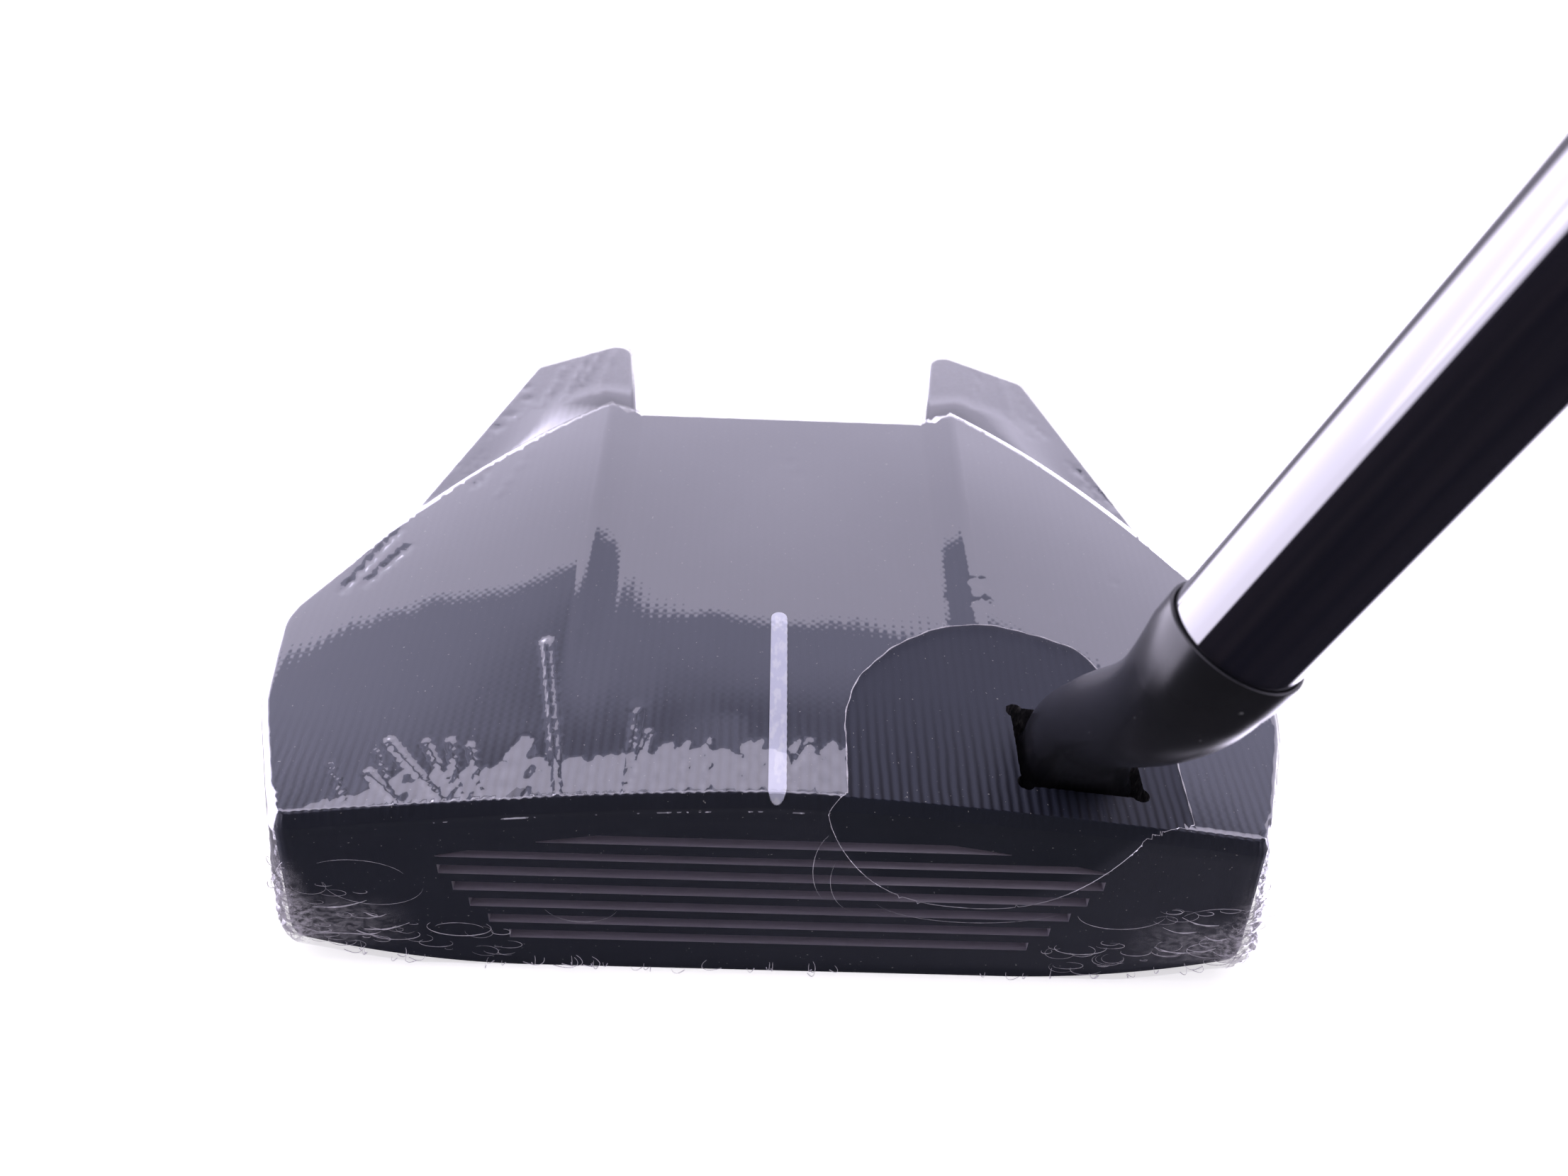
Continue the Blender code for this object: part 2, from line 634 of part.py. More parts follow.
def build_sole_plate(steel, rubber, screw_steel):
    outline = rectangle(*PLATE_HALF, PLATE_CORNER, (0.0, FACE_TO_ORIGIN))
    plate = prism("sole_plate", outline, 0.0, PLATE_THICKNESS)
    gasket_low = PLATE_THICKNESS + STACK_GAP
    gasket = prism("plate_gasket", outline, gasket_low, gasket_low + GASKET_THICKNESS)
    for number, (x, y) in enumerate(PLATE_SCREWS, start=1):
        place = upright(x, y)
        sink = (
            (0.0, 4.0),
            (SINK_BORE, 4.0),
            (SINK_BORE, SINK_RADIUS - SINK_BORE + 0.05),
            (SINK_RADIUS, 0.05),
            (SINK_RADIUS, -1.0),
            (0.0, -1.0),
        )
        cut(plate, turned("sink_cutter", sink, place, steps=16))
        cut(gasket, cylinder("gasket_cutter", SINK_BORE, 1.0, 4.0, place, 16))
        profile = (
            (0.0, PLATE_SCREW_TOP),
            (PLATE_SCREW_SHANK - 0.4, PLATE_SCREW_TOP),
            (PLATE_SCREW_SHANK, PLATE_SCREW_TOP - 0.4),
            (PLATE_SCREW_SHANK, PLATE_SCREW_LOW + 1.6),
            (PLATE_SCREW_HEAD, PLATE_SCREW_LOW + 0.2),
            (PLATE_SCREW_HEAD, PLATE_SCREW_LOW),
            (0.0, PLATE_SCREW_LOW),
        )
        screw = turned("plate_screw", profile, place, steps=16)
        cut(screw, hex_cutter("plate_screw_socket", PLATE_SCREW_SOCKET, -1.0, PLATE_SCREW_SOCKET_TOP, place))
        keep(screw, f"plate_screw_{number}", screw_steel)
    keep(plate, "sole_plate", steel)
    keep(gasket, "plate_gasket", rubber)


def build_weight(name, side, steel, rubber):
    """A screw-in weight and the seal under its flange, both with their origin on its axis."""
    place = upright(side * WEIGHT_X, WEIGHT_Y)
    profile = (
        (0.0, STEM_HIGH),
        (STEM_RADIUS - 0.5, STEM_HIGH),
        (STEM_RADIUS, STEM_HIGH - 0.5),
        (STEM_RADIUS, FLANGE_HIGH + 1.2),
        (GROOVE_RADIUS, FLANGE_HIGH + 1.1),
        (GROOVE_RADIUS, FLANGE_HIGH),
        (FLANGE_RADIUS, FLANGE_HIGH),
        (FLANGE_RADIUS, FLANGE_LOW + 0.4),
        (FLANGE_RADIUS - 0.4, FLANGE_LOW),
        (0.0, FLANGE_LOW),
    )
    weight = turned(name, profile, place)
    cut(weight, hex_cutter("weight_socket", WEIGHT_SOCKET, -1.0, FLANGE_LOW + WEIGHT_SOCKET_DEPTH, place))
    keep(weight, name, steel)
    bpy.ops.mesh.primitive_torus_add(
        major_radius=SEAL_MAJOR * MM,
        minor_radius=SEAL_MINOR * MM,
        major_segments=ROUND_STEPS,
        minor_segments=6,
    )
    made = bpy.context.object
    seal = add_object(name + "_seal", made.data, place @ Matrix.Translation((0.0, 0.0, (FLANGE_HIGH + 0.5) * MM)))
    bpy.data.objects.remove(made, do_unlink=True)
    keep(seal, name + "_seal", rubber)


def shaft_radius(along):
    """Outside radius of the shaft, which grows in short steps towards the butt."""
    radius = TIP_RADIUS
    for step in range(STEP_COUNT):
        start = STEP_START + STEP_PITCH * step
        share = min(1.0, max(0.0, (along - start) / STEP_RAMP))
        radius += (BUTT_RADIUS - TIP_RADIUS) / STEP_COUNT * share
    return radius


def build_shaft(steel, rubber):
    places = [SHAFT_START]
    for step in range(STEP_COUNT):
        start = STEP_START + STEP_PITCH * step
        places += [start, start + STEP_RAMP]
    places.append(SHAFT_END)
    outer = [(shaft_radius(along), along) for along in reversed(places)]
    inner = [(shaft_radius(along) - SHAFT_WALL, along) for along in places]
    keep(turned("shaft", outer + inner, shaft_matrix(), closed=True), "shaft", steel)
    bore = BUTT_RADIUS - SHAFT_WALL
    rim = bore - 0.15
    profile = ((0.0, PLUG_END), (rim, PLUG_END), (rim, PLUG_END - 2.0), (bore - 0.6, PLUG_START), (0.0, PLUG_START))
    keep(turned("shaft_plug", profile, shaft_matrix()), "shaft_plug", rubber)


def grip_ring(along, half_width, half_depth):
    """A section of the grip: round at the back, with a flat front for the thumbs."""
    axis = shaft_matrix()
    flat = GRIP_FLAT * half_depth
    ring = []
    for i in range(GRIP_SIDES):
        angle = math.tau * i / GRIP_SIDES
        x = max(-flat, half_depth * math.cos(angle))
        ring.append(axis @ (Vector((x, half_width * math.sin(angle), along)) * MM))
    return ring


def build_grip(rubber, cap_rubber, tape_film):
    axis = shaft_matrix()
    rings = []
    for step in range(11):
        t = 0.03 * step if step < 2 else (step - 1) / 9.0
        rings.append(grip_ring(GRIP_START + (GRIP_END - GRIP_START) * t, *interpolate(GRIP_SECTIONS, t)))
    grip = loft("grip", rings)
    cut(grip, cylinder("grip_cutter", GRIP_BORE, GRIP_START - 5.0, GRIP_END + 5.0, axis))
    keep(grip, "grip", rubber)
    keep(tube("grip_tape", TAPE_RADIUS, TAPE_BORE, GRIP_START + 4.0, TAPE_END, axis), "grip_tape", tape_film)
    _, half_width, half_depth = GRIP_SECTIONS[-1]
    low = GRIP_END + GAP
    high = low + CAP_THICKNESS
    levels = ((low, 0.0), (high - 0.9, 0.0), (high - 0.25, -0.4), (high, -1.2))
    cap = loft("grip_cap", [grip_ring(z, half_width + d, half_depth + d) for z, d in levels])
    cut(cap, cylinder("vent_cutter", VENT_RADIUS, GRIP_END - 2.0, GRIP_END + 8.0, axis, 16))
    keep(cap, "grip_cap", cap_rubber)


def build_film(material):
    """A thin shell over crown, face, sides and wings, open below and round the neck."""
    film = head_block("shrink_film", FILM_FOOT, FILM_OUTER)
    cut(film, head_block("film_inner_cutter", FILM_FOOT - 3.0, FILM_INNER))
    x, y, radius = FILM_HOLE_TOP
    cut(film, cylinder("film_top_cutter", radius, 19.0, 40.0, upright(x, y), 48))
    x, z, radius = FILM_HOLE_FACE
    sideways = Matrix.Translation(at(x, 0.0, z)) @ Matrix.Rotation(math.pi / 2.0, 4, "X")
    cut(film, cylinder("film_face_cutter", radius, -1.5, 6.0, sideways, 48))
    return keep(film, "shrink_film", material)


def build_all():
    black = new_material("black_anodised", (0.03, 0.032, 0.04), 0.6, 0.45)
    white = new_material("white_paint", (0.8, 0.8, 0.86), 0.0, 0.4)
    satin = new_material("satin_black", (0.015, 0.015, 0.018), 0.3, 0.35)
    gloss = new_material("gloss_black", (0.008, 0.008, 0.01), 0.2, 0.08)
    steel = new_material("stainless_steel", (0.55, 0.55, 0.56), 1.0, 0.28)
    screw_steel = new_material("black_oxide_steel", (0.05, 0.05, 0.052), 0.9, 0.35)
    rubber = new_material("black_rubber", (0.02, 0.02, 0.02), 0.0, 0.7)
    grip_rubber = new_material("grip_rubber", (0.025, 0.025, 0.027), 0.0, 0.8)
    tape = new_material("tape", (0.7, 0.66, 0.5), 0.0, 0.6)
    film = new_material("clear_film", (0.85, 0.83, 0.9), 0.0, 0.1, 0.3)
    build_head(black)
    build_line(white)
    build_neck(satin)
    build_neck_screw(screw_steel)
    build_sole_plate(steel, rubber, screw_steel)
    build_weight("heel_weight", 1.0, steel, rubber)
    build_weight("toe_weight", -1.0, steel, rubber)
    build_shaft(gloss, rubber)
    build_grip(grip_rubber, rubber, tape)
    build_film(film)


clear_scene()
PUTTER = new_collection("mallet_putter")
CUTTERS = new_collection("cutters")
build_all()
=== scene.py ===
"""Looks of the mallet putter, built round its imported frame.

The frame's origin is on the ground under the sole plate, +X is the heel, +Y the back and +Z up.
Named sizes are millimetres. Head places are measured from the top of the face, where y = 0, and
head_to_world() turns arrays of them into world metres. The head and the film that wraps it share
one surface builder: an even sheet over crown and wings, sewn to walls that run down the outline.
"""

import json
import math
import random

import bmesh
import bpy
import numpy as np
from mathutils import Matrix, Vector, kdtree
from mathutils.geometry import delaunay_2d_cdt


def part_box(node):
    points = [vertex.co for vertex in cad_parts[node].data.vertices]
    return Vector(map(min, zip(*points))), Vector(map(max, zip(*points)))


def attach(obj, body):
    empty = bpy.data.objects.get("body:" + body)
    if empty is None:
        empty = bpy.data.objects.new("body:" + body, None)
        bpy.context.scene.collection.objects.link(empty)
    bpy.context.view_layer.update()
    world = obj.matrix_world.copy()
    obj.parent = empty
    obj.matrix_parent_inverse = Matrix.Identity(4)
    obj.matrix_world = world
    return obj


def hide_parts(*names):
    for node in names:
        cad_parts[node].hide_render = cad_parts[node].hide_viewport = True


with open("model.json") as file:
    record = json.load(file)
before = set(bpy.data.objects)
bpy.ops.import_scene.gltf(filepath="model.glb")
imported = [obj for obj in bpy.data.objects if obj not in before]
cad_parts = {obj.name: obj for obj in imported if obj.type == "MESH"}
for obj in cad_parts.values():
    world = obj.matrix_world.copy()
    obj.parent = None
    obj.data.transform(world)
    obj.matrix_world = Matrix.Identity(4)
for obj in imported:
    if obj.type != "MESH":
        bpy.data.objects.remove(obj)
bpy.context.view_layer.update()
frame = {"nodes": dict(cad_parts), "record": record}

MM = 0.001
RECORD = frame["record"]
BODY_OF_NODE = {node: body for body, nodes in RECORD["behaviour"]["bodies"].items() for node in nodes}
HEAD_LOW, HEAD_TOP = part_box("head_body")
PLATE_LOW, PLATE_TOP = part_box("sole_plate")

# Head
HEAD_HEIGHT = HEAD_TOP.z / MM
EDGE_HEIGHT = 19.5
FACE_TO_ORIGIN = 27.0
LOFT = math.radians(3.0)
SIDE_DRAFT = 0.045
LOFT_FADE = 30.0
HALF_OUTLINE = (  # x, y, corner radius, from the front corner round to the notch
    (42.3, 0.0, 1.8),
    (47.2, 14.0, 20.0),
    (48.6, 25.5, 6.0),
    (43.3, 33.2, 2.0),
    (30.6, 72.3, 1.5),
    (19.6, 78.2, 2.0),
    (16.6, 54.8, 1.0),
)
ARCH_DROP, ARCH_HALF = 4.65, 42.3
CHANNEL_HALF, RIDGE_HALF = 16.0, 19.2
CHANNEL_DROP, RIDGE_DROP = 0.6, 0.1
SHOULDER_SLOPE = 0.18
BLEND_START, BLEND_END = 8.0, 50.0
FRONT_REACH, FRONT_FALL = 0.6, 1.3  # bevel between crown and face
BEVEL_SOFTNESS = 0.12
EDGE_ROUND = 0.35  # broken edges of the milled head

# Wings and the web that rises from them to the crown
WING_HEIGHT, WING_SLOPE = 18.7, 0.05
WEB_WIDTH = 4.0
STEP_LIP = 0.9
CROWN_REAR_CORNER = (19.3, 55.8)
CROWN_SIDE_CORNER = (43.3, 33.0)
CROWN_EDGE_PULL = (32.3, 48.6)
WEB_CENTRE = (10.0, 20.0)
WEB_LINES = (0.7, 1.5, 2.4, WEB_WIDTH)
FILM_BRIDGE = 9.0  # how much wider the film's web is towards the wings' ends

# Sole
SOLE_FLAT_HALF = 22.0
SOLE_CAMBER_RADIUS = 62.0

# Face grooves
GROOVE_COUNT = 7
GROOVE_TOP, GROOVE_PITCH, GROOVE_HEIGHT, GROOVE_DEPTH = 19.1, 2.28, 1.2, 1.1
GROOVE_LONGEST = 29.2
ARCH_CLIP_TOP, ARCH_CLIP_DROP = 20.4, 4.6

# Milling marks on the bare metal
MILL_PITCH = 0.85
MILL_DEPTH = 0.07
TEETH = 0.1  # how far the milling marks bite into the front edge
BARE_SPACING = 0.2

# Alignment line
LINE_HALF = 0.75
LINE_START, LINE_END = 0.1, 22.35
LINE_DEPTH = 0.4

# Neck and its pocket
NECK_X, NECK_Y = 26.5, 7.9
POCKET_HALF = (5.8, 4.8)
POCKET_FLOOR = 16.7
NECK_PATH = ((26.5, 7.9, 21.0), (26.4, 8.2, 30.0), (26.8, -3.6, 36.5))
NECK_SECTIONS = ((0.0, 4.6, 4.1), (0.3, 4.3, 4.0), (0.6, 4.2, 4.05), (0.8, 4.4, 4.3), (1.0, 4.9, 4.9))
COLLAR_START, COLLAR_END = 24.5, 28.0
COLLAR_RADIUS, LIP_RADIUS, LIP_DEPTH = 5.05, 4.74, 1.4
POST_RADIUS, POST_END = 3.7, 46.0

# Shaft, measured along its axis from SHAFT_FOOT
SHAFT_FOOT = (19.6, -6.2, 24.4)
SHAFT_LEAN = math.radians(20.12)
SHAFT_START, SHAFT_END = 26.8, 835.0
TIP_RADIUS, BUTT_RADIUS, SHAFT_WALL = 4.7, 7.4, 0.65
STEP_START, STEP_PITCH, STEP_COUNT, STEP_RAMP = 300.0, 38.0, 7, 1.5

# Grip
GRIP_START, GRIP_END, GRIP_BORE = 570.0, 836.0, 8.2
GRIP_SECTIONS = ((0.0, 9.8, 9.8), (0.03, 10.6, 10.6), (0.4, 12.2, 12.6), (0.8, 13.4, 15.4), (1.0, 13.2, 15.8))
GRIP_FLAT = 0.86
CAP_LOW, CAP_THICKNESS = 836.3, 3.0

# Sole hardware
PLATE_SCREWS = ((-13.0, 16.0), (13.0, 16.0), (-13.0, 38.0), (13.0, 38.0))
WEIGHT_X, WEIGHT_Y = 26.2, 58.0
FLANGE_RADIUS, STEM_RADIUS, GROOVE_RADIUS = 6.3, 4.9, 4.4
FLANGE_LOW, FLANGE_HIGH, STEM_HIGH = 1.4, 3.1, 10.9
WEIGHT_PITCH = 1.25

# Film
FILM_GROW = 0.42
FILM_THICKNESS = 0.06
FILM_FOOT = 0.5
FILM_EDGE_ROUND = 0.5
FILM_HOLE_TOP = (20.7, 7.2, 14.9)  # x, y, radius of its hole on the crown
FILM_HOLE_FACE = (18.0, 24.5, 13.7)  # x, z, radius where the hole runs down the face

TURN_SIDES = 96


# ---------------------------------------------------------------- small helpers


def head_to_world(x, y, z):
    """Arrays of head places as rows of world metres."""
    x, y, z = np.broadcast_arrays(x, y, z)
    return np.stack((x, np.asarray(y) - FACE_TO_ORIGIN, z), axis=-1) * MM


def at(x, y, z):
    return Vector((x, y - FACE_TO_ORIGIN, z)) * MM


def ease(value, start, end):
    t = np.clip((value - start) / (end - start), 0.0, 1.0)
    return t * t * (3.0 - 2.0 * t)


def upright(x, y):
    return Matrix.Translation(at(x, y, 0.0))


def shaft_matrix():
    return Matrix.Translation(at(*SHAFT_FOOT)) @ Matrix.Rotation(SHAFT_LEAN, 4, "Y")


def mesh_object(name, points, faces):
    mesh = bpy.data.meshes.new(name)
    mesh.from_pydata([tuple(p) for p in points], [], faces)
    mesh.update()
    item = bpy.data.objects.new(name, mesh)
    bpy.context.scene.collection.objects.link(item)
    return item


def shade(item, angle=35.0):
    item.data.shade_smooth()
    item.data.set_sharp_from_angle(angle=math.radians(angle))


def finish_piece(item, node, slot, *materials):
    """Makes an object stand for a CAD node, riding on its body."""
    for material in materials:
        item.data.materials.append(material)
    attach(item, BODY_OF_NODE[node])
    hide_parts(node)
    return item


def loft(name, rings, caps=True):
    """Skins rings of equally many points in world metres."""
    count = len(rings[0])
    points = [p for ring in rings for p in ring]
    faces = []
    for row in range(len(rings) - 1):
        for i in range(count):
            j = (i + 1) % count
            low, high = row * count, (row + 1) * count
            faces.append((low + i, low + j, high + j, high + i))
    if caps:
        faces.append(tuple(reversed(range(count))))
        faces.append(tuple(range(len(points) - count, len(points))))
    return mesh_object(name, points, faces)


def lathe(name, profile, matrix, closed=False, sides=TURN_SIDES, dent=None):
    """Turns (radius, height) points, running up the outer side, about a matrix's Z axis.

    dent(angles, heights, radii) may return changed radii, for threads and splines.
    """
    rings = []
    angles = np.arange(sides) * math.tau / sides
    for radius, height in profile:
        radii = np.full(sides, float(max(radius, 0.001)))
        if dent is not None:
            radii = dent(angles, np.full(sides, float(height)), radii)
        local = np.stack((np.cos(angles) * radii, np.sin(angles) * radii, np.full(sides, height)), axis=1) * MM
        rings.append([matrix @ Vector(p) for p in local])
    if closed:
        rings.append(rings[0])
        item = loft(name, rings[:-1], caps=False)
        bm = bmesh.new()
        bm.from_mesh(item.data)
        bm.verts.ensure_lookup_table()
        last = len(rings) - 2
        for i in range(sides):
            j = (i + 1) % sides
            loop = (last * sides + i, last * sides + j, j, i)
            bm.faces.new([bm.verts[k] for k in loop])
        bm.to_mesh(item.data)
        bm.free()
        return item
    return loft(name, rings)


def softened(profile, radius, steps=3):
    """Rounds the corners of an open profile of (radius, height) points."""
    result = [profile[0]]
    for before, corner, after in zip(profile, profile[1:], profile[2:]):
        a, b, c = (Vector(p) for p in (before, corner, after))
        first, last = (a - b), (c - b)
        reach = min(radius, first.length * 0.4, last.length * 0.4)
        start, end = b + first.normalized() * reach, b + last.normalized() * reach
        for step in range(steps + 1):
            t = step / steps
            result.append(tuple(start * (1 - t) ** 2 + b * 2 * t * (1 - t) + end * t * t))
    result.append(profile[-1])
    return result


def rounded(corners, spacing):
    """A closed outline as an array, its corners (x, y, radius) rounded with arcs."""
    outline = []
    for i, (x, y, radius) in enumerate(corners):
        corner = Vector((x, y))
        before = (Vector(corners[i - 1][:2]) - corner).normalized()
        after = (Vector(corners[(i + 1) % len(corners)][:2]) - corner).normalized()
        half = before.angle(after) / 2.0
        centre = corner + (before + after).normalized() * (radius / math.sin(half))
        setback = radius / math.tan(half)
        first = corner + before * setback - centre
        last = corner + after * setback - centre
        start = math.atan2(first.y, first.x)
        turn = (math.atan2(last.y, last.x) - start + math.pi) % math.tau - math.pi
        steps = max(3, math.ceil(abs(turn) * radius / spacing))
        for step in range(steps + 1):
            angle = start + turn * step / steps
            outline.append(centre + Vector((math.cos(angle), math.sin(angle))) * radius)
    return divided(np.array([tuple(p) for p in outline]), spacing)


def divided(outline, spacing):
    """The closed outline with its long edges cut into steps of about the spacing, one or per edge."""
    result = []
    spacings = np.broadcast_to(spacing, len(outline))
    for a, b, wanted in zip(outline, np.roll(outline, -1, axis=0), spacings):
        steps = max(1, math.ceil(np.linalg.norm(b - a) / wanted))
        result += [a + (b - a) * k / steps for k in range(steps)]
    return np.array(result)


def grown(outline, distance):
    """A closed anticlockwise outline moved outwards; the distance may differ per point."""
    before = outline - np.roll(outline, 1, axis=0)
    after = np.roll(outline, -1, axis=0) - outline
    before /= np.linalg.norm(before, axis=1, keepdims=True)
    after /= np.linalg.norm(after, axis=1, keepdims=True)
    first = np.stack((before[:, 1], -before[:, 0]), axis=1)
    normal = first + np.stack((after[:, 1], -after[:, 0]), axis=1)
    normal /= np.linalg.norm(normal, axis=1, keepdims=True)
    reach = np.asarray(distance) / np.sum(normal * first, axis=1)
    return outline + normal * np.reshape(reach, (-1, 1))


def inside(points, outline):
    """Even-odd test of points against a closed outline."""
    result = np.zeros(len(points), bool)
    x, y = points[:, 0], points[:, 1]
    for (x0, y0), (x1, y1) in zip(outline, np.roll(outline, -1, axis=0)):
        if y0 == y1:
            continue
        crosses = (y0 > y) != (y1 > y)
        result ^= crosses & (x < (x1 - x0) * (y - y0) / (y1 - y0) + x0)
    return result


def tree_of(points):
    tree = kdtree.KDTree(len(points))
    for index, (x, y) in enumerate(points):
        tree.insert((x, y, 0.0), index)
    tree.balance()
    return tree


def nearest(tree, points):
    """Index and distance of each point's nearest neighbour in a tree."""
    found = [tree.find((x, y, 0.0)) for x, y in points]
    return np.array([f[1] for f in found]), np.array([f[2] for f in found])


# ---------------------------------------------------------------- the head's surface


def crown_height(x, y):
    side = np.abs(x)
    arch = ARCH_DROP * (side / ARCH_HALF) ** 1.5
    ramp = np.clip((side - CHANNEL_HALF) / (RIDGE_HALF - CHANNEL_HALF), 0.0, 1.0)
    rear = CHANNEL_DROP + (RIDGE_DROP - CHANNEL_DROP) * ramp
    rear = rear + SHOULDER_SLOPE * np.maximum(0.0, side - RIDGE_HALF)
    t = ease(y, BLEND_START, BLEND_END)
    return HEAD_HEIGHT - (1.0 - t) * arch - t * rear


def crown_edge(steps=80):
    """The crown's rear edge on the +X side, from beside the notch out past the side."""
    start, end, pull = (np.array(p) for p in (CROWN_REAR_CORNER, CROWN_SIDE_CORNER, CROWN_EDGE_PULL))
    t = np.linspace(0.0, 1.0, steps)[:, None]
    curve = start * (1 - t) ** 2 + pull * 2 * t * (1 - t) + end * t**2
    return np.vstack(((8.0, 55.0), (CHANNEL_HALF + 0.6, 55.0), curve, (50.0, 24.0)))


def beyond_crown(x, y):
    """Distance past the crown's rear edge, away from the web's centre, and the edge point there."""
    edge = crown_edge()
    arms = edge - np.array(WEB_CENTRE)
    angles = np.arctan2(arms[:, 1], arms[:, 0])[::-1]
    radii = np.linalg.norm(arms, axis=1)[::-1]
    dx, dy = np.abs(x) - WEB_CENTRE[0], y - WEB_CENTRE[1]
    angle = np.arctan2(dy, dx)
    radius = np.interp(angle, angles, radii, right=1e3)
    edge_x = WEB_CENTRE[0] + np.cos(angle) * radius
    edge_y = WEB_CENTRE[1] + np.sin(angle) * radius
    return np.hypot(dx, dy) - radius, edge_x, edge_y


def top_height(x, y, lip_run, bridge=0.0):
    """Height of crown and wings before the edges are rounded; film bridges the web more widely."""
    past, edge_x, edge_y = beyond_crown(x, y)
    crown = crown_height(x, y)
    at_edge = crown_height(np.clip(edge_x, 0.0, 60.0), np.clip(edge_y, 0.0, 60.0))
    low = WING_HEIGHT - WING_SLOPE * (np.minimum(np.abs(x), 50.0) - RIDGE_HALF)
    rise = np.maximum(0.0, at_edge - STEP_LIP - low)
    width = WEB_WIDTH + bridge * ease(y, 48.0, 64.0)
    web = low + rise * np.maximum(0.0, 1.0 - past / width) ** 2
    share = np.clip(past / lip_run, 0.0, 1.0)
    return np.where(past <= 0.0, crown, at_edge * (1.0 - share) + web * share)


def wall_place(outline, z):
    """Where the outline's points are at heights z, with side draft and face loft."""
    widen = 1.0 + SIDE_DRAFT * (EDGE_HEIGHT - z) / EDGE_HEIGHT
    lean = math.tan(LOFT) * (HEAD_HEIGHT - z)
    x = outline[:, 0] * widen
    y = outline[:, 1] - lean * np.maximum(0.0, 1.0 - outline[:, 1] / LOFT_FADE)
    return x, y


def sole_height(x):
    out = np.maximum(0.0, np.abs(x) - SOLE_FLAT_HALF)
    return out**2 / (2.0 * SOLE_CAMBER_RADIUS)


def head_outline(spacing, front_spacing, grow):
    left = [(-x, y, radius) for x, y, radius in reversed(HALF_OUTLINE)]
    outline = grown(rounded(list(HALF_OUTLINE) + left, spacing), grow)
    return divided(outline, np.where(outline[:, 1] < 0.4, front_spacing, spacing))


def teeth(x):
    return TEETH * np.abs(np.sin(math.pi * x / MILL_PITCH)) ** 0.7


def edge_sizes(outline, edge_round, grow):
    """Reach inwards and fall of the edge: a bevel over the face, a small round elsewhere."""
    share = ease(outline[:, 1], 0.3, 4.0)
    reach = FRONT_REACH + teeth(outline[:, 0]) + (edge_round - FRONT_REACH) * share + grow
    return reach, FRONT_FALL + (edge_round - FRONT_FALL) * share + grow, share


def edge_drop(gap, reach, fall, share):
    """Drop of the top near its rim, for a blend of bevel (share 0) and round (share 1)."""
    t = 1.0 - np.clip(gap / reach, 0.0, 1.0)
    bevel = t * t / (t + BEVEL_SOFTNESS) * (1.0 + BEVEL_SOFTNESS)
    quarter = 1.0 - np.sqrt(np.maximum(0.0, 1.0 - t * t))
    return fall * (bevel * (1.0 - share) + quarter * share)


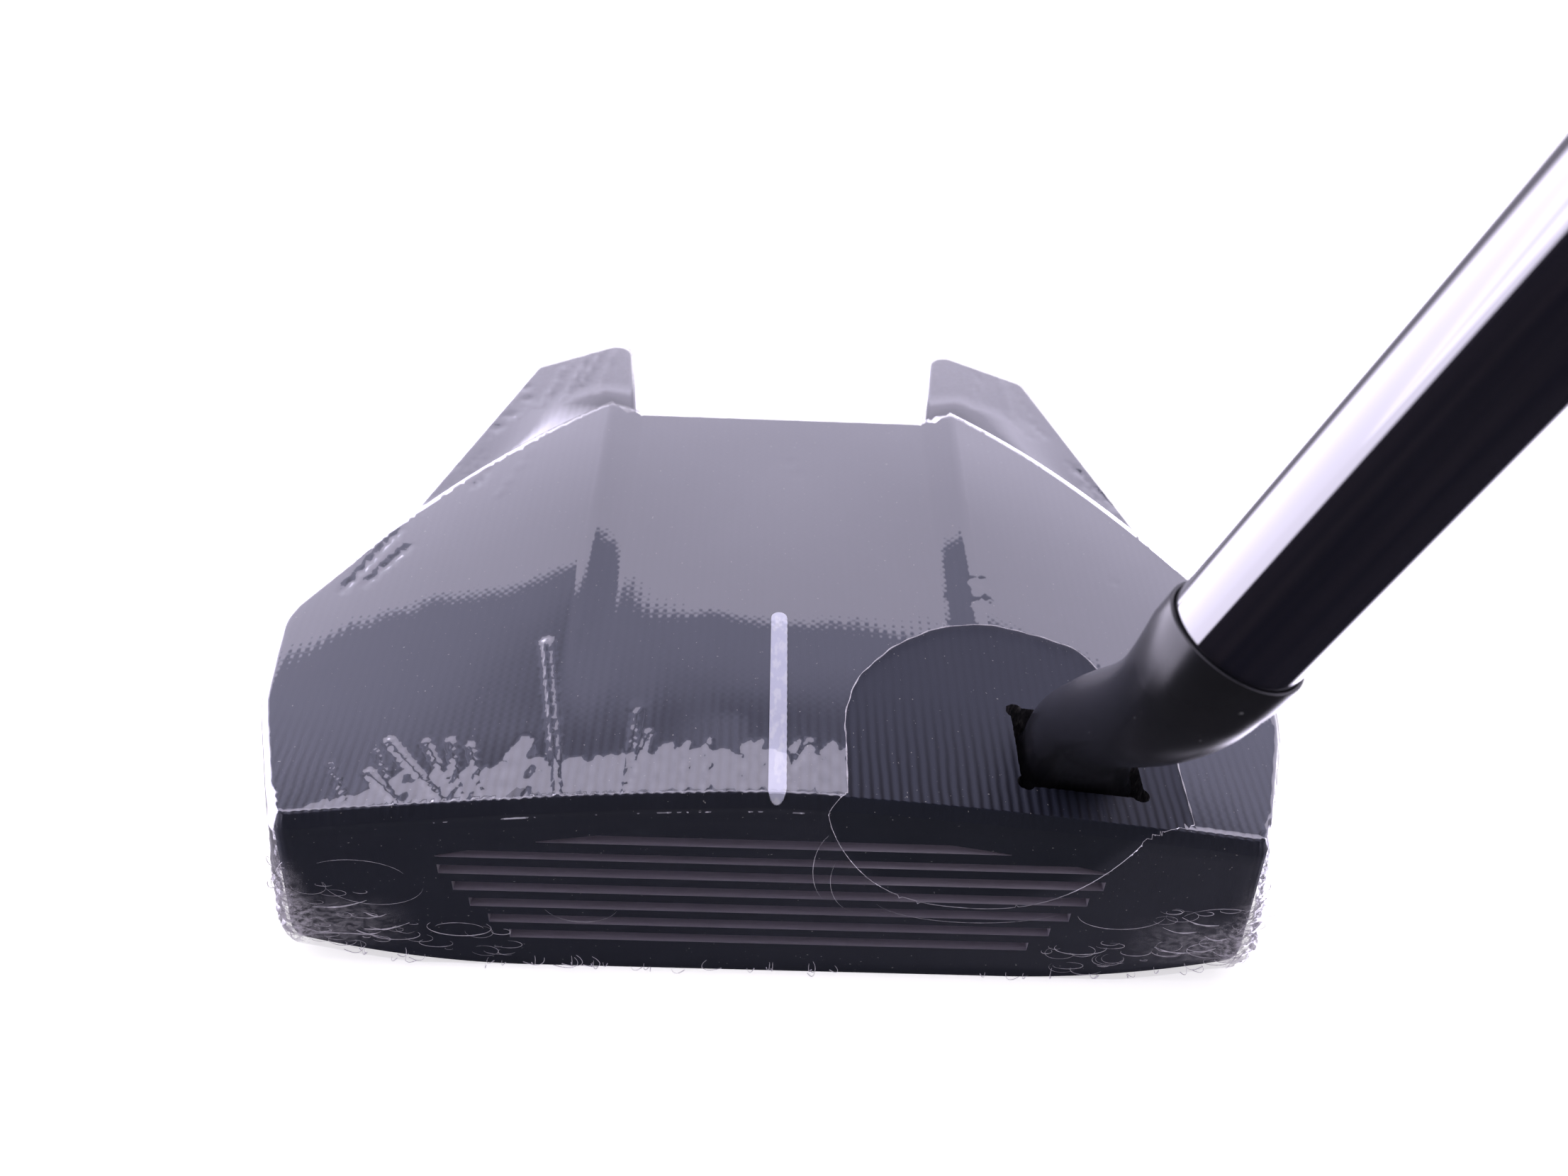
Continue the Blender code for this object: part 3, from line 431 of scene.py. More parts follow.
class HeadSkin:
    """The head's outer surface grown by a distance: a top sheet and walls down the outline."""

    def __init__(self, grow, spacing, front_spacing, edge_round, lip_run, bridge=0.0):
        self.grow, self.lip_run, self.bridge = grow, lip_run, bridge
        self.outline = head_outline(spacing, front_spacing, grow)
        self.reach, self.fall, _ = edge_sizes(self.outline, edge_round, grow)
        self.top = self.settle_top()
        self.ring = np.stack(wall_place(self.outline, self.top), axis=1)
        fine = divided(self.ring, 0.06)
        self.fine_tree = tree_of(fine)
        self.fine_sizes = edge_sizes(fine, edge_round, grow)
        self.points, self.faces = None, None

    def base(self, x, y):
        return top_height(x, y, self.lip_run, self.bridge) + self.grow

    def settle_top(self):
        """Height of the wall's upper rim, where the rounding ends."""
        z = np.full(len(self.outline), EDGE_HEIGHT)
        for _ in range(6):
            x, y = wall_place(self.outline, z)
            inward_y = np.minimum(y + 0.05, 78.0)
            z = self.base(x * 0.999, inward_y) - self.fall
        return z

    def sheet_points(self, grids, lines):
        """Points for the top sheet: the rim, lines to keep, rounding rows and grids."""
        points = [tuple(p) for p in self.ring]
        count = len(points)
        edges = [(i, (i + 1) % count) for i in range(count)]
        rim_tree = tree_of(self.ring)
        kept = list(points)
        for line in lines:
            index, gap = nearest(rim_tree, line)
            within = inside(line, self.ring) & (gap > 0.3)
            if not within.any():
                continue
            body = line[within]
            ends = [int(nearest(rim_tree, [body[k]])[0][0]) for k in (0, -1)]
            gaps = [float(nearest(rim_tree, [body[k]])[1][0]) for k in (0, -1)]
            first = len(points)
            points += [tuple(p) for p in body]
            kept += [tuple(p) for p in body]
            edges += [(first + k, first + k + 1) for k in range(len(body) - 1)]
            if gaps[0] < 1.2:
                edges.append((ends[0], first))
            if gaps[1] < 1.2:
                edges.append((first + len(body) - 1, ends[1]))
        for share in (0.05, 0.16, 0.32, 0.52, 0.7, 0.84, 0.93, 1.0):
            row = grown(self.ring, -self.reach * share)
            row = row[inside(row, self.ring)]
            gap = nearest(tree_of(kept), row)[1]
            near_rim = nearest(rim_tree, row)[1]
            row = row[(gap > 0.02) | (near_rim < 0.3)]
            points += [tuple(p) for p in row]
        kept_tree = tree_of(kept)
        for grid, spacing in grids:
            grid = grid[inside(grid, self.ring)]
            index, gap = nearest(self.fine_tree, grid)
            clear = gap > self.fine_sizes[0][index] + 0.3 * spacing
            grid = grid[clear]
            gap = nearest(kept_tree, grid)[1]
            grid = grid[gap > 0.5 * spacing]
            points += [tuple(p) for p in grid]
        return points, edges, count

    def heights(self, x, y):
        """Height of the rounded top at places inside the rim."""
        index, gap = nearest(self.fine_tree, np.stack((x, y), axis=1))
        reach, fall, share = (sizes[index] for sizes in self.fine_sizes)
        return self.base(x, y) - edge_drop(gap, reach, fall, share)

    def build(self, grids, lines, levels, foot, bottom_spacing=None):
        """Fills points (head millimetres) and faces; a bottom sheet closes it if asked for."""
        raw, edges, count = self.sheet_points(grids, lines)
        result = delaunay_2d_cdt([Vector(p) for p in raw], edges, [list(range(count))], 1, 1e-5)
        verts, faces, origins = result[0], result[2], result[3]
        rim = {}
        for new, olds in enumerate(origins):
            for old in olds:
                if old < count:
                    rim[old] = new
        flat = np.array([(v.x, v.y) for v in verts])
        z = self.heights(flat[:, 0], flat[:, 1])
        for old, new in rim.items():
            z[new] = self.top[old]
        points = [np.column_stack((flat, z))]
        rows = [[rim[i] for i in range(count)]]
        total = len(flat)
        faces = [tuple(f) for f in faces]
        x_low, _ = wall_place(self.outline, np.full(count, 2.0))
        low = np.maximum(sole_height(x_low) - (self.grow if bottom_spacing is None else 0.0), foot)
        for level in range(1, levels + 1):
            height = self.top + (low - self.top) * level / levels
            x, y = wall_place(self.outline, height)
            points.append(np.column_stack((x, y, height)))
            rows.append(list(range(total, total + count)))
            total += count
        for upper, lower in zip(rows, rows[1:]):
            for i in range(count):
                j = (i + 1) % count
                faces.append((upper[i], lower[i], lower[j], upper[j]))
        if bottom_spacing is not None:
            sole, sole_faces = self.bottom(points[-1], bottom_spacing, rows[-1], total)
            points.append(sole)
            faces += sole_faces
        self.points, self.faces, self.sheet_count = np.vstack(points), faces, len(flat)
        return self

    def bottom(self, last, spacing, row, total):
        ring = last[:, :2]
        grid = square_grid(spacing, lambda x, y: np.ones(len(x), bool))
        grid = grid[inside(grid, ring)]
        gap = nearest(tree_of(ring), grid)[1]
        grid = grid[gap > 0.5 * spacing]
        raw = [tuple(p) for p in ring] + [tuple(p) for p in grid]
        count = len(ring)
        edges = [(i, (i + 1) % count) for i in range(count)]
        result = delaunay_2d_cdt([Vector(p) for p in raw], edges, [list(range(count))], 1, 1e-5)
        verts, faces, origins = result[0], result[2], result[3]
        names, extra = {}, []
        for new, olds in enumerate(origins):
            on_ring = [old for old in olds if old < count]
            if on_ring:
                names[new] = row[on_ring[0]]
            else:
                names[new] = total + len(extra)
                extra.append((verts[new].x, verts[new].y, float(sole_height(verts[new].x))))
        return np.array(extra), [tuple(reversed([names[k] for k in f])) for f in faces]


def square_grid(spacing, keep):
    """A slightly shaken grid over the head; keep(x, y) picks the points wanted."""
    xs = np.arange(-50.0, 50.0, spacing)
    ys = np.arange(-3.0, 80.0, spacing)
    x, y = (a.ravel() for a in np.meshgrid(xs, ys))
    shake = np.random.default_rng(3).uniform(-0.12, 0.12, (2, len(x))) * spacing
    x, y = x + shake[0] + 0.013, y + shake[1] + 0.017
    chosen = keep(x, y)
    return np.column_stack((x[chosen], y[chosen]))


def crease_lines(spacing, lip_run):
    """The crown's rear edges, the lips below them, the web's lines and the ridge folds."""
    edge = crown_edge()[2:]
    edge = edge[edge[:, 0] < 49.0]
    out = edge - np.array(WEB_CENTRE)
    out /= np.linalg.norm(out, axis=1, keepdims=True)
    lines = []
    for side in (1.0, -1.0):
        for reach in (0.0, lip_run) + WEB_LINES:
            line = edge + out * reach
            lines.append(resampled(line, spacing) * np.array((side, 1.0)))
        for x in (CHANNEL_HALF, RIDGE_HALF):
            y = np.arange(14.0, 54.2, spacing)
            lines.append(np.column_stack((np.full(len(y), side * x), y)))
    return lines


def resampled(line, spacing):
    steps = np.linalg.norm(np.diff(line, axis=0), axis=1)
    along = np.concatenate(((0.0,), np.cumsum(steps)))
    places = np.linspace(0.0, along[-1], max(2, int(along[-1] / spacing)))
    return np.column_stack([np.interp(places, along, line[:, k]) for k in range(2)])


def hole_radius(turn):
    """Radius of the hole's ragged edge on the crown against the angle round it."""
    wavy = 0.09 * np.sin(7.0 * turn + 1.0) + 0.05 * np.sin(17.0 * turn) + 0.03 * np.sin(41.0 * turn)
    pinch = 0.6 * np.exp(-((turn - 0.83) / 0.09) ** 2) - 0.3 * np.exp(-((turn - 1.05) / 0.07) ** 2)
    return FILM_HOLE_TOP[2] + wavy - pinch


def hole_curve(spacing):
    """The hole's edge on the crown, from the front bevel round and back to it."""
    cx, cy, radius = FILM_HOLE_TOP
    turn = np.linspace(0.0, math.pi, int(math.pi * radius / spacing))
    reach = hole_radius(turn)
    arc = np.column_stack((cx + reach * np.cos(turn), cy + reach * np.sin(turn)))
    down = np.arange(0.3, cy, spacing)
    heel_side = np.column_stack((np.full(len(down), arc[0, 0]), down))
    toe_side = np.column_stack((np.full(len(down), arc[-1, 0]), down[::-1]))
    return np.vstack((heel_side, arc, toe_side))


def hole_depth(x, y, z):
    """Distance inside the film's hole, negative on the film; and the direction out of it."""
    cx, cy, _ = FILM_HOLE_TOP
    fx, fz, face_radius = FILM_HOLE_FACE
    dx, dy = x - cx, np.maximum(y - cy, 0.0)
    reach = np.hypot(dx, dy)
    on_top = hole_radius(np.arctan2(dy, dx)) - reach
    ex, ez = x - fx, z - fz
    face_turn = np.arctan2(ez, ex)
    face_reach = np.hypot(ex, ez)
    on_face = face_radius + 0.12 * np.sin(6.0 * face_turn + 2.0) - face_reach
    share = ease(y, -0.5, 1.0)
    direction = np.column_stack((
        share * dx / reach + (1.0 - share) * ex / face_reach,
        share * dy / reach,
        (1.0 - share) * ez / face_reach,
    ))
    length = np.maximum(1e-6, np.linalg.norm(direction, axis=1, keepdims=True))
    return share * on_top + (1.0 - share) * on_face, direction / length


# ---------------------------------------------------------------- materials


def add(tree, kind, inputs=None, **settings):
    """A shader node, with its inputs given by name or number as values or as sockets."""
    node = tree.nodes.new("ShaderNode" + kind)
    for key, value in settings.items():
        setattr(node, key, value)
    for key, value in (inputs or {}).items():
        if isinstance(value, bpy.types.NodeSocket):
            tree.links.new(value, node.inputs[key])
        else:
            node.inputs[key].default_value = value
    return node


def maths(tree, operation, a, b=0.0, c=0.0, clamp=False):
    node = add(tree, "Math", {0: a, 1: b, 2: c}, operation=operation)
    node.use_clamp = clamp
    return node.outputs[0]


def vector_maths(tree, operation, a, b):
    return add(tree, "VectorMath", {0: a, 1: b}, operation=operation).outputs[0]


def ramp(tree, factor, stops, mode="LINEAR"):
    node = add(tree, "ValToRGB", {"Fac": factor})
    elements = node.color_ramp.elements
    node.color_ramp.interpolation = mode
    elements[0].position, elements[0].color = stops[0][0], grey(stops[0][1])
    elements[1].position, elements[1].color = stops[-1][0], grey(stops[-1][1])
    for place, value in stops[1:-1]:
        elements.new(place).color = grey(value)
    return node.outputs["Color"]


def grey(value):
    return (value, value, value, 1.0) if isinstance(value, (int, float)) else (*value, 1.0)


def noise(tree, vector, scale, detail=3.0, roughness=0.5):
    node = add(tree, "TexNoise", {"Vector": vector, "Scale": scale, "Detail": detail, "Roughness": roughness})
    return node.outputs["Fac"]


def stretched(tree, vector, scale):
    return add(tree, "Mapping", {"Vector": vector, "Scale": scale}).outputs["Vector"]


def new_material(name):
    """An empty material: its tree, its output and the object coordinates in millimetres."""
    material = bpy.data.materials.new(name)
    material.use_nodes = True
    tree = material.node_tree
    tree.nodes.clear()
    output = add(tree, "OutputMaterial")
    place = add(tree, "TexCoord").outputs["Object"]
    millimetres = stretched(tree, place, (1000.0, 1000.0, 1000.0))
    return material, tree, output, millimetres


def close_material(tree, output, shader):
    tree.links.new(shader.outputs[0], output.inputs["Surface"])


def principled(tree, colour, roughness, metallic=0.0, **more):
    inputs = {"Base Color": colour, "Roughness": roughness, "Metallic": metallic}
    inputs.update({key.replace("_", " "): value for key, value in more.items()})
    return add(tree, "BsdfPrincipled", inputs)


def bump(tree, height, distance, strength=1.0):
    """A bump whose distance is in millimetres."""
    return add(tree, "Bump", {"Height": height, "Distance": distance * MM, "Strength": strength}).outputs["Normal"]


def blend_colour(tree, factor, first, second):
    node = tree.nodes.new("ShaderNodeMix")
    node.data_type = "RGBA"
    for index, value in ((0, factor), (6, first), (7, second)):
        if isinstance(value, bpy.types.NodeSocket):
            tree.links.new(value, node.inputs[index])
        elif index == 0:
            node.inputs[index].default_value = value
        else:
            node.inputs[index].default_value = grey(value)
    return node.outputs[2]


def coated_metal(name, dark, light, roughness, metallic, grain=6.0, marks=0.004, stretch=(1.0, 1.0, 1.0), **more):
    """Anodised, oxidised or machined metal: mottled colour and roughness with fine grain."""
    material, tree, output, place = new_material(name)
    place = stretched(tree, place, stretch)
    broad = noise(tree, place, 0.35, 4.0)
    fine = noise(tree, place, grain, 4.0, 0.6)
    colour = blend_colour(tree, broad, dark, light)
    spread = maths(tree, "MULTIPLY_ADD", fine, 0.14, roughness - 0.07)
    normal = bump(tree, fine, marks)
    shader = principled(tree, colour, spread, metallic, Normal=normal, **more)
    close_material(tree, output, shader)
    return material


def head_metal():
    """Black anodising over milled metal, with tiny bright specks where it is bare, and painted shade in the hollows of
    its milling marks.
    """
    material, tree, output, place = new_material("black_anodised")
    broad = noise(tree, place, 0.12, 3.0)
    fine = noise(tree, place, 9.0, 5.0, 0.65)
    lines = noise(tree, stretched(tree, place, (9.0, 0.5, 0.5)), 1.0, 3.0)
    speck = ramp(tree, noise(tree, place, 3.6, 1.0), ((0.76, 0.0), (0.8, 1.0)))
    base = blend_colour(tree, broad, (0.01, 0.012, 0.022), (0.016, 0.018, 0.03))
    # painted shade: the base colour darkens in the hollows of the milling marks
    base = blend_colour(tree, painted_valley_shade(tree, place), base, (0.006, 0.006, 0.01))
    colour = blend_colour(tree, speck, base, (0.2, 0.19, 0.2))
    spread = maths(tree, "MULTIPLY_ADD", fine, 0.16, 0.42)
    relief = maths(tree, "MULTIPLY_ADD", lines, 0.6, fine)
    # the same painted shade also lowers the specular in those hollows
    shine = maths(tree, "MULTIPLY_ADD", painted_valley_shade(tree, place), -0.11, 0.2)
    shader = principled(tree, colour, spread, 0.0, Normal=bump(tree, relief, 0.012), Specular_IOR_Level=shine)
    close_material(tree, output, shader)
    return material


def painted_valley_shade(tree, place):
    """1 in the hollows of the crown's milling marks, where shade is painted in, fading away from the face; only on
    upward-facing surfaces.
    """
    x, y, _ = separated(tree, place)
    wander = maths(tree, "MULTIPLY", noise(tree, stretched(tree, place, (0.3, 0.2, 0.2)), 1.0, 2.0), 0.5)
    phase = maths(tree, "MULTIPLY", maths(tree, "ADD", x, wander), math.pi / MILL_PITCH)
    valley = maths(tree, "POWER", maths(tree, "ABSOLUTE", maths(tree, "SINE", phase)), 3.0)
    fade = maths(tree, "MULTIPLY_ADD", risen(tree, y, -14.0, -12.0), 0.9, 0.1)
    upward = risen(tree, separated(tree, add(tree, "NewGeometry").outputs["Normal"])[2], 0.6, 0.2)
    return product(tree, valley, fade, upward)


def milled_wall():
    """Rough walls of the neck's pocket, scratched light grey-brown."""
    material, tree, output, place = new_material("milled_wall")
    scratches = noise(tree, stretched(tree, place, (3.5, 3.5, 0.9)), 1.0, 6.0, 0.7)
    stops = ((0.36, (0.03, 0.03, 0.034)), (0.55, (0.11, 0.105, 0.11)), (0.7, (0.4, 0.38, 0.38)))
    colour = ramp(tree, scratches, stops)
    shader = principled(tree, colour, 0.55, 0.3, Normal=bump(tree, scratches, 0.12))
    close_material(tree, output, shader)
    return material


def groove_painted_light_metal():
    """Cut floors and ledges of the face grooves, paler than the face: painted light, the pale colour standing in for
    the light that the upward-facing ledges catch from above.
    """
    material, tree, output, place = new_material("groove_painted_light_metal")
    lines = noise(tree, stretched(tree, place, (0.25, 6.0, 6.0)), 1.0, 4.0)
    fine = noise(tree, place, 12.0, 3.0)
    # painted light: the cut faces get a pale colour for the light caught on the ledges
    colour = blend_colour(tree, lines, (0.27, 0.25, 0.3), (0.4, 0.37, 0.43))
    spread = maths(tree, "MULTIPLY_ADD", fine, 0.2, 0.45)
    shader = principled(tree, colour, spread, 0.2, Normal=bump(tree, lines, 0.01))
    close_material(tree, output, shader)
    return material


def line_paint():
    """Filled white paint with a lavender cast and faint diagonal film reflections painted into its colour."""
    material, tree, output, place = new_material("white_paint")
    cloud = noise(tree, place, 1.2, 3.0)
    colour = blend_colour(tree, cloud, (0.5, 0.5, 0.68), (0.57, 0.57, 0.75))
    # painted reflection: pale diagonal streaks of the film's reflection mixed into the paint colour
    streak = noise(tree, stretched(tree, place, (1.0, 0.45, 0.6)), 1.6, 2.0)
    pale = ramp(tree, streak, ((0.5, 0.0), (0.62, 0.6)))
    colour = blend_colour(tree, pale, colour, (0.72, 0.71, 0.82))
    shader = principled(tree, colour, 0.35, 0.0, Normal=bump(tree, cloud, 0.02))
    close_material(tree, output, shader)
    return material


def satin_black():
    """The neck's satin black coating."""
    material, tree, output, place = new_material("satin_black")
    fine = noise(tree, place, 14.0, 4.0, 0.6)
    broad = noise(tree, place, 0.5, 2.0)
    speck = ramp(tree, noise(tree, place, 1.9, 1.0), ((0.79, 0.0), (0.82, 1.0)))
    colour = blend_colour(tree, broad, (0.008, 0.008, 0.011), (0.012, 0.012, 0.015))
    colour = blend_colour(tree, speck, colour, (0.12, 0.12, 0.13))
    spread = maths(tree, "MULTIPLY_ADD", fine, 0.1, 0.2)
    shader = principled(tree, colour, spread, 0.0, Normal=bump(tree, fine, 0.002), Specular_IOR_Level=0.3)
    close_material(tree, output, shader)
    return material


def gloss_black():
    """The shaft's deep black gloss: a dark base under a clear coat with faint lengthwise streaks."""
    material, tree, output, place = new_material("gloss_black")
    tilt = add(tree, "Mapping", {"Vector": place, "Rotation": (0.0, -SHAFT_LEAN, 0.0)}).outputs["Vector"]
    streak = noise(tree, stretched(tree, tilt, (1.4, 1.4, 0.03)), 1.0, 3.0)
    colour = ramp(tree, streak, ((0.35, (0.006, 0.006, 0.012)), (0.7, (0.014, 0.012, 0.018))))
    spread = maths(tree, "MULTIPLY_ADD", streak, 0.08, 0.03)
    shader = principled(
        tree, colour, spread, 0.0, Normal=bump(tree, streak, 0.0006),
        Specular_IOR_Level=0.7, Coat_Weight=1.0, Coat_Roughness=0.03, Coat_IOR=1.6,
    )
    close_material(tree, output, shader)
    return material


def grip_rubber():
    """Dull black grip rubber with a fine pebbled skin and dusty high spots."""
    material, tree, output, place = new_material("grip_rubber")
    pebble = add(tree, "TexVoronoi", {"Vector": place, "Scale": 1.6}).outputs["Distance"]
    fine = noise(tree, place, 6.0, 5.0, 0.6)
    colour = blend_colour(tree, noise(tree, place, 0.06, 4.0), (0.014, 0.014, 0.015), (0.028, 0.027, 0.028))
    relief = maths(tree, "MULTIPLY_ADD", fine, 0.4, pebble)
    shader = principled(tree, colour, maths(tree, "MULTIPLY_ADD", fine, 0.2, 0.6), 0.0, Normal=bump(tree, relief, 0.08))
    close_material(tree, output, shader)
    return material


def plain_rubber():
    """Moulded black rubber of the seals, gasket, cap and plug."""
    material, tree, output, place = new_material("black_rubber")
    fine = noise(tree, place, 5.0, 5.0, 0.6)
    colour = blend_colour(tree, fine, (0.012, 0.012, 0.013), (0.026, 0.025, 0.026))
    shader = principled(tree, colour, maths(tree, "MULTIPLY_ADD", fine, 0.25, 0.5), 0.0, Normal=bump(tree, fine, 0.05))
    close_material(tree, output, shader)
    return material


def grip_tape():
    """Creped paper tape under the grip."""
    material, tree, output, place = new_material("tape")
    crepe = noise(tree, stretched(tree, place, (0.6, 0.6, 3.0)), 1.0, 4.0)
    colour = blend_colour(tree, crepe, (0.52, 0.45, 0.28), (0.72, 0.66, 0.46))
    shader = principled(tree, colour, 0.75, 0.0, Normal=bump(tree, crepe, 0.1))
    close_material(tree, output, shader)
    return material


def ripples(tree, place):
    """Tiny tilts of the film over the milling marks below it, as a vector to add to its normal."""
    x, y, _ = separated(tree, place)
    row = maths(tree, "SINE", maths(tree, "MULTIPLY", x, math.tau / MILL_PITCH))
    step = maths(tree, "SINE", maths(tree, "MULTIPLY", y, math.tau / 0.78))
    cell = noise(tree, stretched(tree, place, (1.9, 1.5, 1.0)), 1.0, 2.0, 0.7)
    broad = noise(tree, stretched(tree, place, (0.35, 0.25, 0.2)), 1.0, 2.0)
    fore = product(tree, row, step, 0.0018)
    fore = maths(tree, "ADD", fore, maths(tree, "MULTIPLY_ADD", cell, 0.0045, -0.00225))
    fore = maths(tree, "ADD", fore, maths(tree, "MULTIPLY_ADD", broad, 0.006, -0.003))
    fore = maths(tree, "ADD", fore, ridge_tilt(tree, x, y))
    across = maths(tree, "MULTIPLY", row, 0.004)
    return add(tree, "CombineXYZ", {"X": across, "Y": fore, "Z": 0.0}).outputs[0]


def ridge_tilt(tree, x, y):
    """Backward tilt where the film spans the fold between the channel and its ridges."""
    side = maths(tree, "ABSOLUTE", x)
    over = product(tree, risen(tree, side, 14.8, 3.4), risen(tree, side, 20.1, -0.8))
    along = risen(tree, y, BLEND_START - FACE_TO_ORIGIN, BLEND_END - BLEND_START)
    return product(tree, over, along, maths(tree, "SUBTRACT", 1.0, along), 4.0 * 0.026)


def separated(tree, vector):
    node = add(tree, "SeparateXYZ", {0: vector})
    return node.outputs[0], node.outputs[1], node.outputs[2]


def clear_film():
    """Shrink film: clear, with a painted reflection that its ripples break up: an emission that shows the studio's
    brightness in the reflected direction, weighted by Fresnel; bunched film is milky.
    """
    material, tree, output, place = new_material("clear_film")
    geometry = add(tree, "NewGeometry")
    tilted = vector_maths(tree, "ADD", geometry.outputs["Normal"], ripples(tree, place))
    normal = vector_maths(tree, "NORMALIZE", tilted, (0.0, 0.0, 0.0))
    facing = add(tree, "VectorMath", {0: normal, 1: geometry.outputs["Incoming"]}, operation="DOT_PRODUCT").outputs["Value"]
    grazing = maths(tree, "SUBTRACT", 1.0, maths(tree, "ABSOLUTE", facing), clamp=True)
    share = maths(tree, "MULTIPLY_ADD", maths(tree, "POWER", grazing, 5.0), 0.957, 0.043, clamp=True)
    onward = vector_maths(tree, "MULTIPLY", geometry.outputs["Incoming"], (-1.0, -1.0, -1.0))
    # painted reflection: the film glows with the studio's brightness looked up in the reflected direction, instead of
    # reflecting light
    tint, strength = studio_seen(tree, vector_maths(tree, "REFLECT", onward, normal))
    shown = maths(tree, "SUBTRACT", 1.0, add(tree, "LightPath").outputs["Is Diffuse Ray"])
    painted_reflection = add(tree, "Emission", {"Color": tint, "Strength": product(tree, strength, share, shown)})
    passed = maths(tree, "MULTIPLY_ADD", share, -0.985, 0.985, clamp=True)
    clear = add(tree, "BsdfTransparent", {"Color": passed})
    film = add(tree, "AddShader", {0: clear.outputs[0], 1: painted_reflection.outputs[0]})
    milky = add(tree, "BsdfDiffuse", {"Color": (0.8, 0.76, 0.86, 1.0), "Roughness": 0.5})
    through = add(tree, "BsdfTranslucent", {"Color": (0.8, 0.76, 0.86, 1.0)})
    haze = add(tree, "MixShader", {0: 0.4, 1: milky.outputs[0], 2: through.outputs[0]})
    bunch = add(tree, "Attribute", attribute_name="bunch").outputs["Fac"]
    crumple = noise(tree, stretched(tree, place, (1.0, 1.0, 1.6)), 1.3, 5.0, 0.7)
    broken = maths(tree, "MULTIPLY", bunch, ramp(tree, crumple, ((0.42, 0.12), (0.62, 1.0))), clamp=True)
    shader = add(tree, "MixShader", {0: broken, 1: film.outputs[0], 2: haze.outputs[0]})
    close_material(tree, output, shader)
    return material


def film_strand():
    """Torn edge and stray strands of the film, a milky translucent thread."""
    material, tree, output, place = new_material("film_strand")
    cloud = noise(tree, place, 1.1, 3.0)
    opacity = ramp(tree, cloud, ((0.35, 0.35), (0.65, 0.95)))
    body = principled(tree, (0.72, 0.68, 0.78, 1.0), 0.3, 0.0, Normal=bump(tree, cloud, 0.03))
    clear = add(tree, "BsdfTransparent")
    close_material(tree, output, add(tree, "MixShader", {0: opacity, 1: clear.outputs[0], 2: body.outputs[0]}))
    return material


def floor_material():
    """Matt pale studio floor, seen only from above."""
    material, tree, output, place = new_material("studio_floor")
    cloud = noise(tree, place, 0.01, 2.0)
    colour = blend_colour(tree, cloud, (0.9, 0.885, 0.9), (0.92, 0.905, 0.92))
    matt = add(tree, "BsdfDiffuse", {"Color": colour})
    glow = add(tree, "Emission", {"Color": (1.0, 0.98, 1.0, 1.0), "Strength": 0.72})
    lit = add(tree, "AddShader", {0: matt.outputs[0], 1: glow.outputs[0]})
    clear = add(tree, "BsdfTransparent")
    under = add(tree, "NewGeometry").outputs["Backfacing"]
    close_material(tree, output, add(tree, "MixShader", {0: under, 1: lit.outputs[0], 2: clear.outputs[0]}))
    return material


# ---------------------------------------------------------------- head body


def prism_points(outline, low, high, matrix):
    """Closed prism of an outline (head millimetres in the matrix's plane)."""
    count = len(outline)
    points = [matrix @ (Vector((x, y, z)) * MM) for z in (low, high) for x, y in outline]
    faces = [(i, (i + 1) % count, count + (i + 1) % count, count + i) for i in range(count)]
    faces.append(tuple(reversed(range(count))))
    faces.append(tuple(range(count, 2 * count)))
    return points, faces


def prism(name, outline, low, high, matrix):
    return mesh_object(name, *prism_points(outline, low, high, matrix))


def rectangle(half_x, half_y, radius, centre=(0.0, 0.0), spacing=0.5):
    cx, cy = centre
    signs = ((1, -1), (1, 1), (-1, 1), (-1, -1))
    return rounded([(cx + half_x * sx, cy + half_y * sy, radius) for sx, sy in signs], spacing)


def groove_outline(index):
    """One horizontal groove; an arch like the crown's cuts the upper ones short."""
    high = GROOVE_TOP - GROOVE_PITCH * index
    low = high - GROOVE_HEIGHT
    below = max(0, index - 2)
    half = GROOVE_LONGEST - 0.9 * below - 0.11 * below**2
    reach = GROOVE_LONGEST * ((ARCH_CLIP_TOP - low - 0.1) / ARCH_CLIP_DROP) ** (1.0 / 1.8)
    half = min(half, reach)
    upper = []
    for x in np.linspace(-half, half, 61):
        arch = ARCH_CLIP_TOP - ARCH_CLIP_DROP * (abs(x) / GROOVE_LONGEST) ** 1.8
        if arch < high or abs(abs(x) - half) < 1e-6:
            upper.append((-x, min(high, arch)))
    return [(-half, low), (half, low)] + upper


def face_matrix():
    foot = at(0.0, -math.tan(LOFT) * HEAD_HEIGHT, 0.0)
    return Matrix.Translation(foot) @ Matrix.Rotation(math.pi / 2.0 - LOFT, 4, "X")


